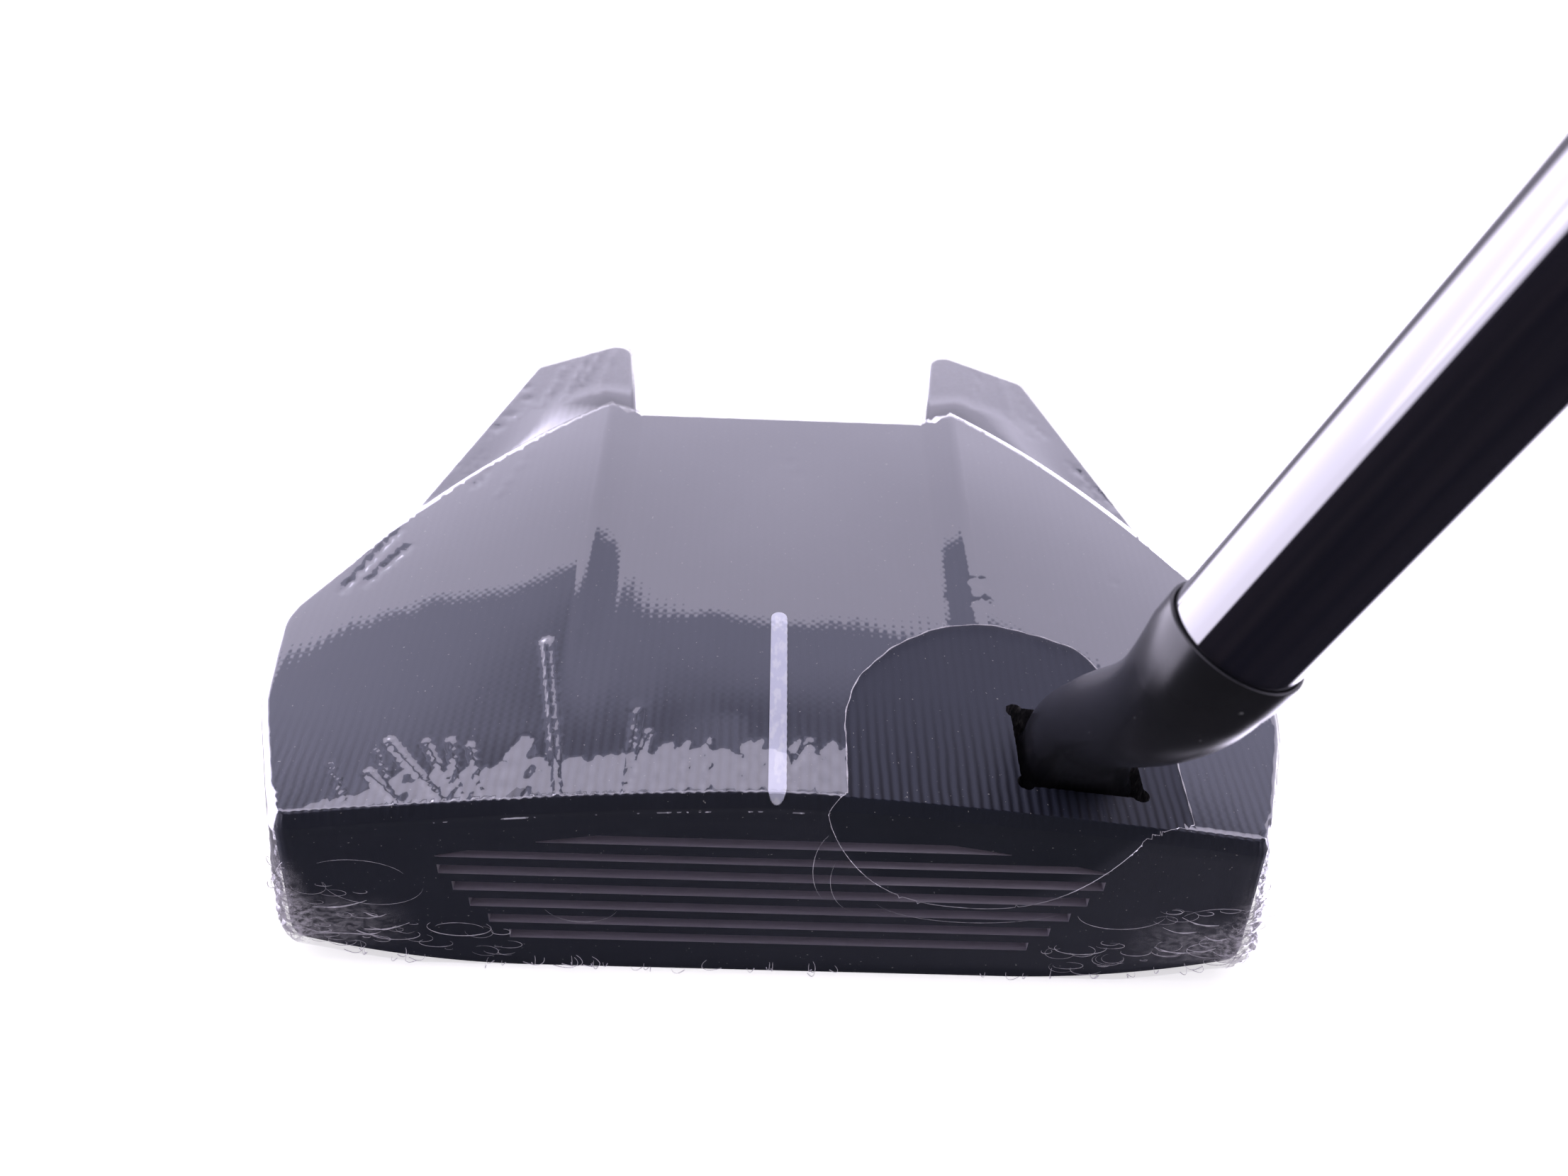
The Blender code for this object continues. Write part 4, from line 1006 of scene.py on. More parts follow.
def head_cutters(bare, wall, grooves):
    """Every recess of the head, each cutter holding the finish that its cut shows."""
    ground = Matrix.Translation(at(0.0, 0.0, 0.0))
    cutters = []

    def keep(item, material):
        item.data.materials.append(material)
        cutters.append(item)

    for index in range(GROOVE_COUNT):
        keep(prism("cut_groove", groove_outline(index), -GROOVE_DEPTH, 4.0, face_matrix()), grooves)
    keep(pocket_cutter(), wall)
    screw = ((0.0, -2.0), (4.8, -2.0), (4.8, 6.7), (2.7, 6.7), (2.7, 18.0), (0.0, 18.0))
    keep(lathe("cut_screw", screw, upright(NECK_X, NECK_Y)), bare)
    for side in (1.0, -1.0):
        flange, stem, ledge = FLANGE_RADIUS + 0.3, STEM_RADIUS + 0.3, FLANGE_HIGH + 1.0
        bore = ((0.0, -2.0), (flange, -2.0), (flange, ledge), (stem, ledge), (stem, STEM_HIGH + 1.0), (0.0, STEM_HIGH + 1.0))
        keep(lathe("cut_weight", bore, upright(side * WEIGHT_X, WEIGHT_Y)), bare)
    half = (PLATE_TOP - PLATE_LOW) / 2.0 / MM
    recess = rectangle(half.x + 0.3, half.y + 0.3, 4.0, (0.0, FACE_TO_ORIGIN))
    keep(prism("cut_recess", recess, -2.0, 2.7, ground), bare)
    for x, y in PLATE_SCREWS:
        hole = ((0.0, 1.0), (1.8, 1.0), (1.8, 9.0), (0.0, 9.0))
        keep(lathe("cut_plate_screw", hole, upright(x, y), sides=32), bare)
    keep(line_slab("cut_line", 0.05, LINE_DEPTH, 1.0), bare)
    return cutters


def pocket_cutter():
    """The neck's pocket: a rectangle with round reliefs, its walls chattered by the mill."""
    hx, hy = POCKET_HALF
    corners = []
    for sx, sy in ((1, -1), (1, 1), (-1, 1), (-1, -1)):
        corners.append((sx * hx, sy * hy))
    outline = []
    for i, (x, y) in enumerate(corners):
        sx, sy = math.copysign(1.0, x), math.copysign(1.0, y)
        cx, cy = x - sx * 0.72, y - sy * 0.72
        start = {(1, -1): -150.0, (1, 1): -60.0, (-1, 1): 30.0, (-1, -1): 120.0}[(int(sx), int(sy))]
        for step in range(13):
            angle = math.radians(start + 210.0 * step / 12.0)
            outline.append((cx + 0.8 * math.cos(angle), cy + 0.8 * math.sin(angle)))
    outline = divided(np.array(outline), 0.3)
    draw = random.Random(5)
    rings = []
    for z in np.linspace(POCKET_FLOOR, 27.0, 34):
        ring = []
        for x, y in outline:
            push = 1.0 + draw.uniform(-0.008, 0.008)
            ring.append(at(NECK_X + x * push, NECK_Y + y * push, z))
        rings.append(ring)
    return loft("cut_pocket", rings)


def line_outline(extra):
    """The alignment line: round ends, its heel side nibbled by the milling marks."""
    half = LINE_HALF + extra
    start, end = LINE_START - extra, LINE_END + extra
    points = []
    for step in range(13):
        angle = math.radians(-90.0 + 180.0 * step / 12.0 - 90.0)
        points.append((half * math.cos(angle), start + half + half * math.sin(angle)))
    for y in np.arange(start + half + 0.1, end - half, 0.14):
        points.append((half + (0.05 * abs(math.sin(y * math.pi / MILL_PITCH)) if extra == 0.0 else 0.05), y))
    for step in range(13):
        angle = math.radians(180.0 * step / 12.0)
        points.append((half * math.cos(angle), end - half + half * math.sin(angle)))
    for y in np.arange(end - half - 0.1, start + half, -0.4):
        points.append((-half, y))
    return np.array(points)


def bare_top(x, y):
    """Height of the crown and its front bevel near the middle."""
    front = -math.tan(LOFT) * FRONT_FALL
    gap = np.maximum(0.0, y - front)
    return crown_height(x, y) - edge_drop(gap, FRONT_REACH, FRONT_FALL, 0.0)


def line_slab(name, extra, depth, height):
    """A slab that follows the crown along the alignment line, from depth below to height above."""
    outline = line_outline(extra)
    ys = np.concatenate((np.linspace(LINE_START, 1.0, 14), np.arange(1.3, LINE_END, 0.5)))
    grid = np.array([(x, y) for y in ys for x in (-0.4, 0.0, 0.4)])
    grid = grid[inside(grid, grown(outline, -0.15))]
    raw = np.vstack((outline, grid))
    count = len(outline)
    edges = [(i, (i + 1) % count) for i in range(count)]
    verts, _, faces, *_ = delaunay_2d_cdt([Vector(p) for p in raw], edges, [list(range(count))], 1, 1e-6)
    flat = np.array([(v.x, v.y) for v in verts])
    base = bare_top(flat[:, 0], flat[:, 1])
    low = head_to_world(flat[:, 0], flat[:, 1], base - depth)
    high = head_to_world(flat[:, 0], flat[:, 1], base + height)
    total = len(flat)
    all_faces = [tuple(total + k for k in f) for f in faces] + [tuple(reversed(f)) for f in faces]
    rim = open_edges(faces)
    all_faces += [(a, b, total + b, total + a) for a, b in rim]
    return mesh_object(name, np.vstack((low, high)), all_faces)


def open_edges(faces):
    """Directed edges that only one face uses."""
    used = set()
    for face in faces:
        for a, b in zip(face, list(face[1:]) + [face[0]]):
            used.add((a, b))
    return [(a, b) for a, b in used if (b, a) not in used]


def milling_relief(x, y):
    """Front-to-back scallops in the bare metal, deepest behind the face."""
    wobble = 0.05 * np.sin(y * 0.9 + x * 0.4) + 0.03 * np.sin(y * 2.3 + x)
    scallop = np.abs(np.cos(math.pi * (x + wobble) / MILL_PITCH))
    fade = 0.2 + 0.8 * (1.0 - ease(y, 3.0, 15.0))
    heel = 0.55 + 0.45 * np.exp(-((x - 21.5) / 5.0) ** 2)
    cx, cy, radius = FILM_HOLE_TOP
    within = 1.0 - ease(np.hypot(x - cx, y - cy), radius + 0.2, radius + 0.9)
    return -MILL_DEPTH * (1.0 - scallop) * fade * heel * within


def in_bare_circle(x, y):
    cx, cy, radius = FILM_HOLE_TOP
    return np.hypot(x - cx, y - cy) < radius + 0.9


def build_head():
    skin = HeadSkin(0.0, 0.7, 0.2, EDGE_ROUND, 0.05)
    grids = (
        (square_grid(BARE_SPACING, in_bare_circle), BARE_SPACING),
        (square_grid(0.9, lambda x, y: ~in_bare_circle(x, y)), 0.9),
    )
    skin.build(grids, crease_lines(0.6, 0.05), 12, 0.0, bottom_spacing=2.5)
    points = skin.points
    top = points[: skin.sheet_count]
    top[:, 2] += milling_relief(top[:, 0], top[:, 1])
    head = mesh_object("milled_head", head_to_world(*points.T), skin.faces)
    bare, wall, grooves = head_metal(), milled_wall(), groove_painted_light_metal()
    head.data.materials.append(bare)
    cutters = head_cutters(bare, wall, grooves)
    carve(head, cutters)
    shade(head, 32.0)
    return finish_piece(head, "head_body", "black_anodised")


def carve(item, cutters):
    """Subtracts all cutters at once, then removes them."""
    tools = bpy.data.collections.new("tools")
    bpy.context.scene.collection.children.link(tools)
    for cutter in cutters:
        for owner in list(cutter.users_collection):
            owner.objects.unlink(cutter)
        tools.objects.link(cutter)
    modifier = item.modifiers.new("carve", "BOOLEAN")
    modifier.operation = "DIFFERENCE"
    modifier.operand_type = "COLLECTION"
    modifier.collection = tools
    modifier.material_mode = "TRANSFER"
    bake_modifiers(item)
    for cutter in cutters:
        bpy.data.objects.remove(cutter, do_unlink=True)
    bpy.data.collections.remove(tools)


def bake_modifiers(item):
    graph = bpy.context.evaluated_depsgraph_get()
    mesh = bpy.data.meshes.new_from_object(item.evaluated_get(graph), depsgraph=graph)
    item.modifiers.clear()
    item.data = mesh


# ---------------------------------------------------------------- shrink film

# Folds on the crown: start, end, half-width and height of each, in head millimetres
CROWN_FOLDS = (
    ((-21.6, 18.2), (-17.9, -0.6), 0.62, 0.26),
    ((-12.2, 11.0), (-12.7, 0.2), 0.36, 0.13),
    ((-11.1, 6.9), (-12.5, 1.0), 0.32, 0.1),
    ((-33.9, 7.3), (-27.7, 0.2), 0.5, 0.14),
    ((-30.6, 7.0), (-27.5, 2.0), 0.34, 0.1),
    ((-28.4, 6.9), (-26.3, 0.8), 0.4, 0.13),
    ((-26.5, 6.2), (-24.7, 1.0), 0.36, 0.12),
    ((-34.9, 3.9), (-31.2, -0.1), 0.5, 0.13),
    ((-34.8, 6.2), (-33.2, 3.6), 0.28, 0.07),
    ((-38.6, 5.2), (-36.0, 0.6), 0.24, 0.07),
    ((2.7, 5.8), (0.9, 2.4), 0.5, 0.1),
    ((-39.9, 36.2), (-43.6, 27.6), 0.55, -0.13),
    ((-38.3, 33.4), (-41.5, 28.2), 0.5, -0.12),
    ((-32.9, 42.6), (-31.4, 45.6), 0.4, -0.09),
    ((-29.9, 40.6), (-27.4, 48.6), 0.35, 0.04),
)
# Short dents on the rear crown: centre, half-length across, half-width, depth
CROWN_DENTS = (
    ((19.9, 27.9), 1.2, 0.3, 0.05),
    ((19.7, 25.1), 1.2, 0.3, 0.05),
    ((34.3, 30.9), 0.8, 0.3, 0.05),
    ((35.8, 32.5), 0.8, 0.25, 0.05),
    ((1.0, 46.2), 1.3, 0.4, 0.03),
    ((1.8, 44.0), 1.2, 0.35, 0.03),
    ((-6.9, 26.9), 0.4, 0.25, 0.04),
)
# Larger marks on the wings: start, end, half-width and height
WING_MARKS = (
    ((-39.8, 50.4), (-38.0, 59.1), 0.45, -0.12),
    ((-41.6, 45.6), (-38.6, 54.1), 0.45, -0.12),
    ((-40.6, 43.6), (-37.4, 51.0), 0.4, 0.1),
    ((-42.2, 42.2), (-39.4, 48.0), 0.4, -0.1),
    ((-39.9, 55.4), (-37.2, 61.0), 0.4, -0.1),
    ((-26.4, 64.4), (-24.2, 76.2), 0.5, 0.13),
    ((-24.6, 68.0), (-22.6, 76.6), 0.45, 0.12),
    ((-28.7, 63.2), (-27.4, 71.4), 0.5, 0.1),
    ((-22.4, 66.0), (-21.2, 75.4), 0.4, 0.1),
    ((38.3, 47.7), (34.3, 55.2), 0.5, -0.14),
    ((37.4, 47.5), (35.0, 51.8), 0.35, -0.1),
    ((24.0, 66.0), (25.6, 75.4), 0.5, 0.08),
    ((28.4, 64.0), (28.0, 72.0), 0.5, 0.07),
)
TONGUE_KNOTS = (-44.0, -41.5, -37.0, -33.0, -29.0, -24.5, -21.8, -19.5, -15.0, -10.0, -5.0, 2.0, 8.0, 11.0)
TONGUE_REACH = (0.2, 0.5, 1.3, 2.6, 3.2, 4.0, 7.2, 4.3, 4.6, 4.8, 5.2, 4.9, 5.0, 0.0)


def fold_field(x, y, start, end, half, height):
    """A rounded fold along a segment, thinning towards its end."""
    a, b = np.array(start), np.array(end)
    along = b - a
    t = np.clip(((x - a[0]) * along[0] + (y - a[1]) * along[1]) / along.dot(along), 0.0, 1.0)
    gap = np.hypot(x - a[0] - along[0] * t, y - a[1] - along[1] * t)
    q = np.clip(gap / (half * (1.15 - 0.4 * t)), 0.0, 1.0)
    return height * (0.5 + 0.5 * np.cos(math.pi * q))


def dent_field(x, y, centre, reach, half, depth):
    q = np.hypot((x - centre[0]) / reach, (y - centre[1]) / half)
    return -depth * (0.5 + 0.5 * np.cos(math.pi * np.clip(q, 0.0, 1.0)))


def tongue_reach(x):
    """How far back from the face the film is pulled down, a ragged row of tongues."""
    draw = random.Random(11)
    base = np.interp(x, TONGUE_KNOTS, TONGUE_REACH)
    ragged = np.zeros_like(x)
    place = -43.0
    while place < 8.0:
        width = draw.uniform(0.35, 0.95)
        tall = draw.uniform(-1.3, 1.5)
        ragged += tall * np.maximum(0.0, 1.0 - np.abs(x - place) / width)
        place += draw.uniform(0.55, 1.3)
    return np.maximum(0.0, base + ragged * np.clip(base / 3.0, 0.0, 1.0))


def film_lift(x, y):
    """Extra height of the film over crown and wings."""
    lift = np.zeros_like(x)
    for fold in CROWN_FOLDS:
        lift += fold_field(x, y, *fold)
    for dent in CROWN_DENTS:
        lift += dent_field(x, y, *dent)
    lift += wing_folds(x, y)
    reach = tongue_reach(x + 0.12 * np.sin(3.0 * y))
    lift -= 0.065 * np.maximum(0.0, reach - y) * (x < 12.0)
    lift += 0.01 * np.sin(x * 0.35 + 1.0) * np.sin(y * 0.22)
    return lift


def wing_folds(x, y):
    """Marks of the film on the wings: listed folds, mottled dimples and fine random creases."""
    lift = np.zeros_like(x)
    for mark in WING_MARKS:
        lift += fold_field(x, y, *mark)
    for cx, cy in ((-32.4, 61.2), (-30.9, 64.6), (-33.6, 58.6), (-31.6, 67.0)):
        lift += dent_field(x, y, (cx, cy), 1.2, 0.9, 0.12)
    draw = random.Random(23)
    for side, count in ((-1.0, 16), (1.0, 7)):
        for _ in range(count):
            share = draw.uniform(0.1, 1.0)
            cx, cy = 44.0 - 15.0 * share + draw.uniform(-4.0, 0.0), 36.0 + 36.0 * share + draw.uniform(-2.5, 2.0)
            reach, slant = draw.uniform(1.2, 3.0), draw.uniform(1.0, 1.4)
            dx, dy = -side * math.cos(slant) * reach, math.sin(slant) * reach
            start, end = (side * cx - dx, cy - dy), (side * cx + dx, cy + dy)
            lift += fold_field(x, y, start, end, draw.uniform(0.2, 0.4), draw.uniform(-0.07, 0.06))
    return lift


def wall_lift(x, y, z, normal):
    """Ripples of the film on face and sides, wildest low down at the two front corners."""
    corner = corner_bunch(x, y, z)
    ripple = np.sin(z * 2.6 + x * 0.5 + y * 0.5) * np.sin(z * 1.1 - y * 0.35 + x * 0.8)
    frill = np.sin(z * 4.1 + 2.0 * np.sin(y * 0.9 + x * 0.7)) + 0.6 * np.sin(z * 7.3 + x * 1.3 + y * 1.9)
    lift = 0.012 * ripple * ease(-z, -20.0, -8.0)
    slack = 0.6 * ease(x, 40.0, 46.0) * (1.0 - ease(y, 10.0, 24.0)) * ease(z, 1.0, 6.0) * (1.0 - ease(z, 15.0, 19.5))
    return lift + slack * (0.85 + 0.15 * frill) + corner * (0.3 + 0.22 * frill)


def corner_bunch(x, y, z):
    """From 0 to 1: how bunched the film is round the lower front corners."""
    out = ease(np.abs(x), 40.5, 45.0) * (1.0 - ease(y, 4.0, 11.0))
    toe = np.where(x < 0.0, 1.0, 0.75)
    height = ease(z, 1.5, 5.0) * (1.0 - ease(z, 10.0, 16.5))
    return out * height * toe


def bunch_amount(x, y, z):
    """How milky the film is, kept as a point attribute for its material."""
    corner = corner_bunch(x, y, z)
    face = (1.0 - ease(y, 0.5, 3.0)) * ease(np.abs(x), 31.0, 43.0) * ease(z, 2.5, 5.5) * (1.0 - ease(z, 7.0, 11.0))
    rear_side = ease(np.abs(x), 44.0, 47.0) * (1.0 - ease(z, 2.0, 9.0)) * 0.25
    wings = ease(y, 58.0, 74.0) * 0.12
    return np.clip(0.8 * corner + 0.35 * face + rear_side + wings, 0.0, 1.0)


def build_film():
    skin = HeadSkin(FILM_GROW, 0.5, 0.21, FILM_EDGE_ROUND, 0.45, FILM_BRIDGE)
    fine, middle, coarse = 0.32, 0.55, 0.9

    def front_toe(x, y):
        return (y < 9.5) & (x < 10.0) | (np.abs(x + 20.0) < 3.0) & (y < 20.0)

    def marked(x, y):
        return ~front_toe(x, y) & ((y < 50.0) & (np.abs(x) > 30.0) | (y > 50.0) | (y < 4.0))

    def plain(x, y):
        return ~front_toe(x, y) & ~marked(x, y)

    grids = (
        (square_grid(fine, front_toe), fine),
        (square_grid(middle, marked), middle),
        (square_grid(coarse * 0.8, plain), coarse * 0.8),
    )
    skin.build(grids, [hole_curve(0.3)] + crease_lines(0.5, 0.45), 34, FILM_FOOT)
    points = skin.points
    film = mesh_object("wrap_film", head_to_world(*points.T), skin.faces)
    normals = np.zeros(len(points) * 3, np.float32)
    film.data.vertex_normals.foreach_get("vector", normals)
    normals = normals.reshape(-1, 3)
    x, y, z = points.T
    upward = ease(normals[:, 2], 0.3, 0.9)
    lift = film_lift(x, y) * upward + wall_lift(x, y, z, normals) * (1.0 - upward)
    moved = points + normals * lift[:, None]
    moved = snap_to_hole(moved)
    faces = open_hole(moved, skin.faces)
    bpy.data.objects.remove(film, do_unlink=True)
    film = mesh_object("wrap_film", head_to_world(*moved.T), faces)
    amount = film.data.attributes.new("bunch", "FLOAT", "POINT")
    amount.data.foreach_set("value", bunch_amount(*moved.T).astype(np.float32))
    drop_loose(film)
    lips = hole_rim(film)
    wall = film.modifiers.new("thickness", "SOLIDIFY")
    wall.thickness = FILM_THICKNESS * MM
    wall.offset = -1.0
    bake_modifiers(film)
    film.data.materials.append(clear_film())
    film.data.materials.append(film_strand())
    add_strands(film, lips + whiskers() + face_creases())
    shade(film, 70.0)
    return finish_piece(film, "shrink_film", "clear_film")


def snap_to_hole(points):
    depth, outward = hole_depth(*points.T)
    close = np.abs(depth) < np.where(points[:, 1] < 0.6, 0.3, 0.08)
    return points + outward * np.where(close, depth, 0.0)[:, None]


def open_hole(points, faces):
    depth, _ = hole_depth(*points.T)
    kept = []
    for face in faces:
        if sum(depth[k] for k in face) / len(face) < 0.0:
            kept.append(face)
    return kept


def drop_loose(item):
    bm = bmesh.new()
    bm.from_mesh(item.data)
    bmesh.ops.delete(bm, geom=[v for v in bm.verts if not v.link_faces], context="VERTS")
    bm.to_mesh(item.data)
    bm.free()


def hole_rim(item):
    """The hole's edge as short strands: thicker on the crown, thin down the face."""
    bm = bmesh.new()
    bm.from_mesh(item.data)
    strands = []
    for edge in bm.edges:
        if len(edge.link_faces) != 1 or edge.verts[0].co.z < 9.0 * MM:
            continue
        ends = [v.co.copy() for v in edge.verts]
        radii = []
        for point in ends:
            on_face = 1.0 - float(ease(point.y / MM + FACE_TO_ORIGIN, 0.2, 2.0))
            thick = 0.05 + 0.03 * math.sin(point.x / MM * 1.9) * math.sin(point.y / MM * 2.7 + 1.0)
            radii.append(thick * (1.0 - on_face) + 0.018 * on_face)
        strands.append((ends, radii, False))
    bm.free()
    return strands


def face_point(x, z, proud):
    """A place on the face, proud of it by some millimetres."""
    lean = math.tan(LOFT) * (HEAD_HEIGHT - z)
    return at(x, -lean - FILM_GROW - proud, z)


STRAND = 0.6  # thickness of the creases on the face against their listed radii


def arc_strand(centre, reach, start, end, radius, proud=0.0):
    """Part of an ellipse on the face, thinning at both ends."""
    points, radii = [], []
    steps = max(8, int(abs(end - start) / 9.0))
    for step in range(steps + 1):
        t = step / steps
        angle = math.radians(start + (end - start) * t)
        points.append(face_point(centre[0] + reach[0] * math.cos(angle), centre[1] + reach[1] * math.sin(angle), proud))
        radii.append(STRAND * radius * (0.25 + 0.75 * math.sin(math.pi * t)))
    return points, radii, False


def face_creases():
    """Bubble rims, streaks and slack loops pressed into the film on the face."""
    draw = random.Random(31)
    strands = [
        arc_strand((-36.4, 12.8), (4.6, 2.6), 20.0, 130.0, 0.03),
        arc_strand((-35.0, 12.2), (4.4, 3.0), 180.0, 350.0, 0.03),
        arc_strand((-28.2, 6.1), (2.9, 1.25), 150.0, 390.0, 0.07),
        arc_strand((-28.2, 6.0), (2.2, 0.8), 0.0, 170.0, 0.035),
        arc_strand((-34.2, 4.9), (2.3, 0.9), 170.0, 380.0, 0.06),
        arc_strand((-38.9, 3.9), (4.1, 0.9), 0.0, 175.0, 0.07),
        arc_strand((28.6, 5.4), (2.4, 1.0), 160.0, 370.0, 0.07),
        arc_strand((33.8, 5.0), (1.4, 0.6), 170.0, 370.0, 0.06),
        arc_strand((36.9, 4.9), (1.1, 0.5), 170.0, 370.0, 0.05),
        arc_strand((41.0, 5.6), (2.6, 1.2), 100.0, 400.0, 0.06),
        arc_strand((40.6, 9.4), (4.2, 2.4), 30.0, 150.0, 0.04),
        arc_strand((31.4, 10.6), (4.0, 2.2), 190.0, 350.0, 0.05),
        arc_strand((5.6, 16.0), (2.2, 5.0), 120.0, 240.0, 0.035),
        arc_strand((7.6, 14.6), (2.6, 4.6), 150.0, 262.0, 0.03),
        arc_strand((18.0, 12.0), (9.0, 3.2), 195.0, 330.0, 0.03),
        arc_strand((-17.0, 10.0), (3.4, 2.6), 200.0, 340.0, 0.03),
    ]
    for side, low, high, count in ((-1.0, 24.0, 44.0, 34), (1.0, 24.0, 45.0, 30)):
        for _ in range(count):
            x = side * draw.uniform(low, high)
            z = draw.uniform(2.2, 12.0) if abs(x) > 34.0 else draw.uniform(2.0, 6.5)
            wide = draw.uniform(0.3, 1.6)
            z = max(z, float(sole_height(x)) + 0.8)
            reach = (wide, wide * draw.uniform(0.3, 0.75))
            start = draw.uniform(120.0, 200.0)
            strands.append(arc_strand((x, z), reach, start, start + draw.uniform(150.0, 330.0), draw.uniform(0.02, 0.06)))
    for _ in range(12):
        side = draw.choice((-1.0, -1.0, 1.0))
        x, z = side * draw.uniform(36.0, 43.0), draw.uniform(5.0, 9.5)
        long, slant = draw.uniform(1.5, 5.0), draw.uniform(-0.1, 0.45)
        points = [face_point(x - side * long * t, z + slant * long * t - 0.5 * math.sin(3.0 * t), 0.05) for t in np.linspace(0.0, 1.0, 9)]
        radii = [draw.uniform(0.02, 0.09) * math.sin(math.pi * min(0.95, t + 0.05)) + 0.01 for t in np.linspace(0.0, 1.0, 9)]
        strands.append((points, radii, False))
    return strands


def whiskers():
    """Loose curls of film along the foot of the face and round the two front corners."""
    draw = random.Random(47)
    strands = []
    for _ in range(44):
        x = draw.uniform(-40.0, 42.0)
        z = max(FILM_FOOT, float(sole_height(x))) + draw.uniform(0.0, 0.8)
        size, lean = draw.uniform(0.6, 2.6), draw.uniform(-1.0, 1.0)
        bend = draw.uniform(1.0, 2.6)
        points, radii = [], []
        for t in np.linspace(0.0, 1.0, 9):
            swing = lean * size * math.sin(bend * t)
            rise = size * 0.5 * (1.0 - math.cos(bend * t)) - 0.25 * size * t
            points.append(face_point(x + swing, z + rise, 0.1 + 0.35 * math.sin(math.pi * t)))
            radii.append(0.035 * (1.0 - 0.8 * t) + 0.01)
        strands.append((points, radii, False))
    for side, count in ((-1.0, 30), (1.0, 24)):
        for _ in range(count):
            turn = draw.uniform(0.0, 1.0)
            z = draw.uniform(4.5, 15.0)
            x = side * (41.6 + 1.9 * min(1.0, turn * 1.6) + 0.05 * (EDGE_HEIGHT - z))
            y = -0.9 + 7.0 * max(0.0, turn - 0.4)
            long = draw.uniform(0.8, 3.2)
            out = draw.uniform(0.2, 0.9)
            points, radii = [], []
            for t in np.linspace(0.0, 1.0, 9):
                puff = out * math.sin(math.pi * t)
                points.append(at(x + side * (0.25 + puff), y + 0.8 * t * turn - 0.25, z - long * t + 0.5 * math.sin(6.0 * t + x)))
                radii.append(0.02 + draw.uniform(0.0, 0.035) * math.sin(math.pi * t))
            strands.append((points, radii, False))
    return strands


def add_strands(item, strands, sides=5):
    """Adds thin tubes to a mesh, in its second material slot."""
    bm = bmesh.new()
    bm.from_mesh(item.data)
    for points, radii, closed in strands:
        rings = []
        count = len(points)
        for i, point in enumerate(points):
            ahead = points[(i + 1) % count] if closed else points[min(i + 1, count - 1)]
            behind = points[i - 1] if closed or i else points[0]
            along = (ahead - behind).normalized()
            across = along.orthogonal() if abs(along.z) > 0.95 else along.cross(Vector((0.0, 0.0, 1.0)))
            across.normalize()
            over = along.cross(across)
            ring = []
            for k in range(sides):
                angle = math.tau * k / sides
                ring.append(bm.verts.new(point + (across * math.cos(angle) + over * math.sin(angle)) * (radii[i] * MM)))
            rings.append(ring)
        pairs = list(zip(rings, rings[1:])) + ([(rings[-1], rings[0])] if closed else [])
        for low, high in pairs:
            for k in range(sides):
                j = (k + 1) % sides
                face = bm.faces.new((low[k], low[j], high[j], high[k]))
                face.material_index = 1
        if not closed:
            bm.faces.new(reversed(rings[0])).material_index = 1
            bm.faces.new(rings[-1]).material_index = 1
    bm.to_mesh(item.data)
    bm.free()


# ---------------------------------------------------------------- neck, shaft and grip


def section_ring(matrix, half_x, half_y, height=0.0, power=2.0, sides=TURN_SIDES):
    """Points round a matrix's Z axis; a higher power squares the round."""
    angle = np.arange(sides) * math.tau / sides
    c, s = np.cos(angle), np.sin(angle)
    x = np.sign(c) * np.abs(c) ** (2.0 / power) * half_x
    y = np.sign(s) * np.abs(s) ** (2.0 / power) * half_y
    return [matrix @ (Vector((float(a), float(b), height)) * MM) for a, b in zip(x, y)]


def neck_arm_rings(steps=56):
    end = shaft_matrix() @ (Vector((0.0, 0.0, COLLAR_START)) * MM)
    p0, p1, p2 = (at(*point) for point in NECK_PATH)
    knots = [row[0] for row in NECK_SECTIONS]
    rings = []
    for step in range(steps + 1):
        t = step / steps
        u = 1.0 - t
        centre = p0 * u**3 + p1 * 3.0 * u**2 * t + p2 * 3.0 * u * t**2 + end * t**3
        along = ((p1 - p0) * u**2 + (p2 - p1) * 2.0 * u * t + (end - p2) * t**2).normalized()
        across = (Vector((1.0, 0.0, 0.0)) - along * along.x).normalized()
        turn = Matrix((across, along.cross(across), along)).transposed().to_4x4()
        spread = np.clip(np.linspace(t - 0.08, t + 0.08, 9), 0.0, 1.0)
        half_x = float(np.mean(np.interp(spread, knots, [row[1] for row in NECK_SECTIONS])))
        half_y = float(np.mean(np.interp(spread, knots, [row[2] for row in NECK_SECTIONS])))
        power = 2.0 + 1.5 * max(0.0, 1.0 - t / 0.3)
        rings.append(section_ring(Matrix.Translation(centre) @ turn, half_x, half_y, power=power))
    return rings


def build_neck():
    base, axis = upright(NECK_X, NECK_Y), shaft_matrix()
    rings = [section_ring(base, 4.9, 4.3, z, 4.0) for z in (17.0, 17.2, 20.0, 20.3)]
    rings += neck_arm_rings()
    collar = softened((
        (COLLAR_RADIUS, COLLAR_START + 1.2),
        (COLLAR_RADIUS, COLLAR_END),
        (LIP_RADIUS, COLLAR_END),
        (LIP_RADIUS, COLLAR_END - LIP_DEPTH),
        (POST_RADIUS, COLLAR_END - LIP_DEPTH),
        (POST_RADIUS, POST_END),
        (POST_RADIUS - 0.5, POST_END + 0.8),
    ), 0.12)
    rings += [section_ring(axis, radius, radius, height) for radius, height in collar]
    neck = loft("slant_neck", rings)
    thread = lathe("cut_thread", ((0.0, 15.0), (2.6, 15.0), (2.6, 25.0), (0.0, 25.0)), base)
    neck.data.materials.append(satin_black())
    thread.data.materials.append(neck.data.materials[0])
    carve(neck, [thread])
    shade(neck, 40.0)
    finish_piece(neck, "neck", "satin_black")


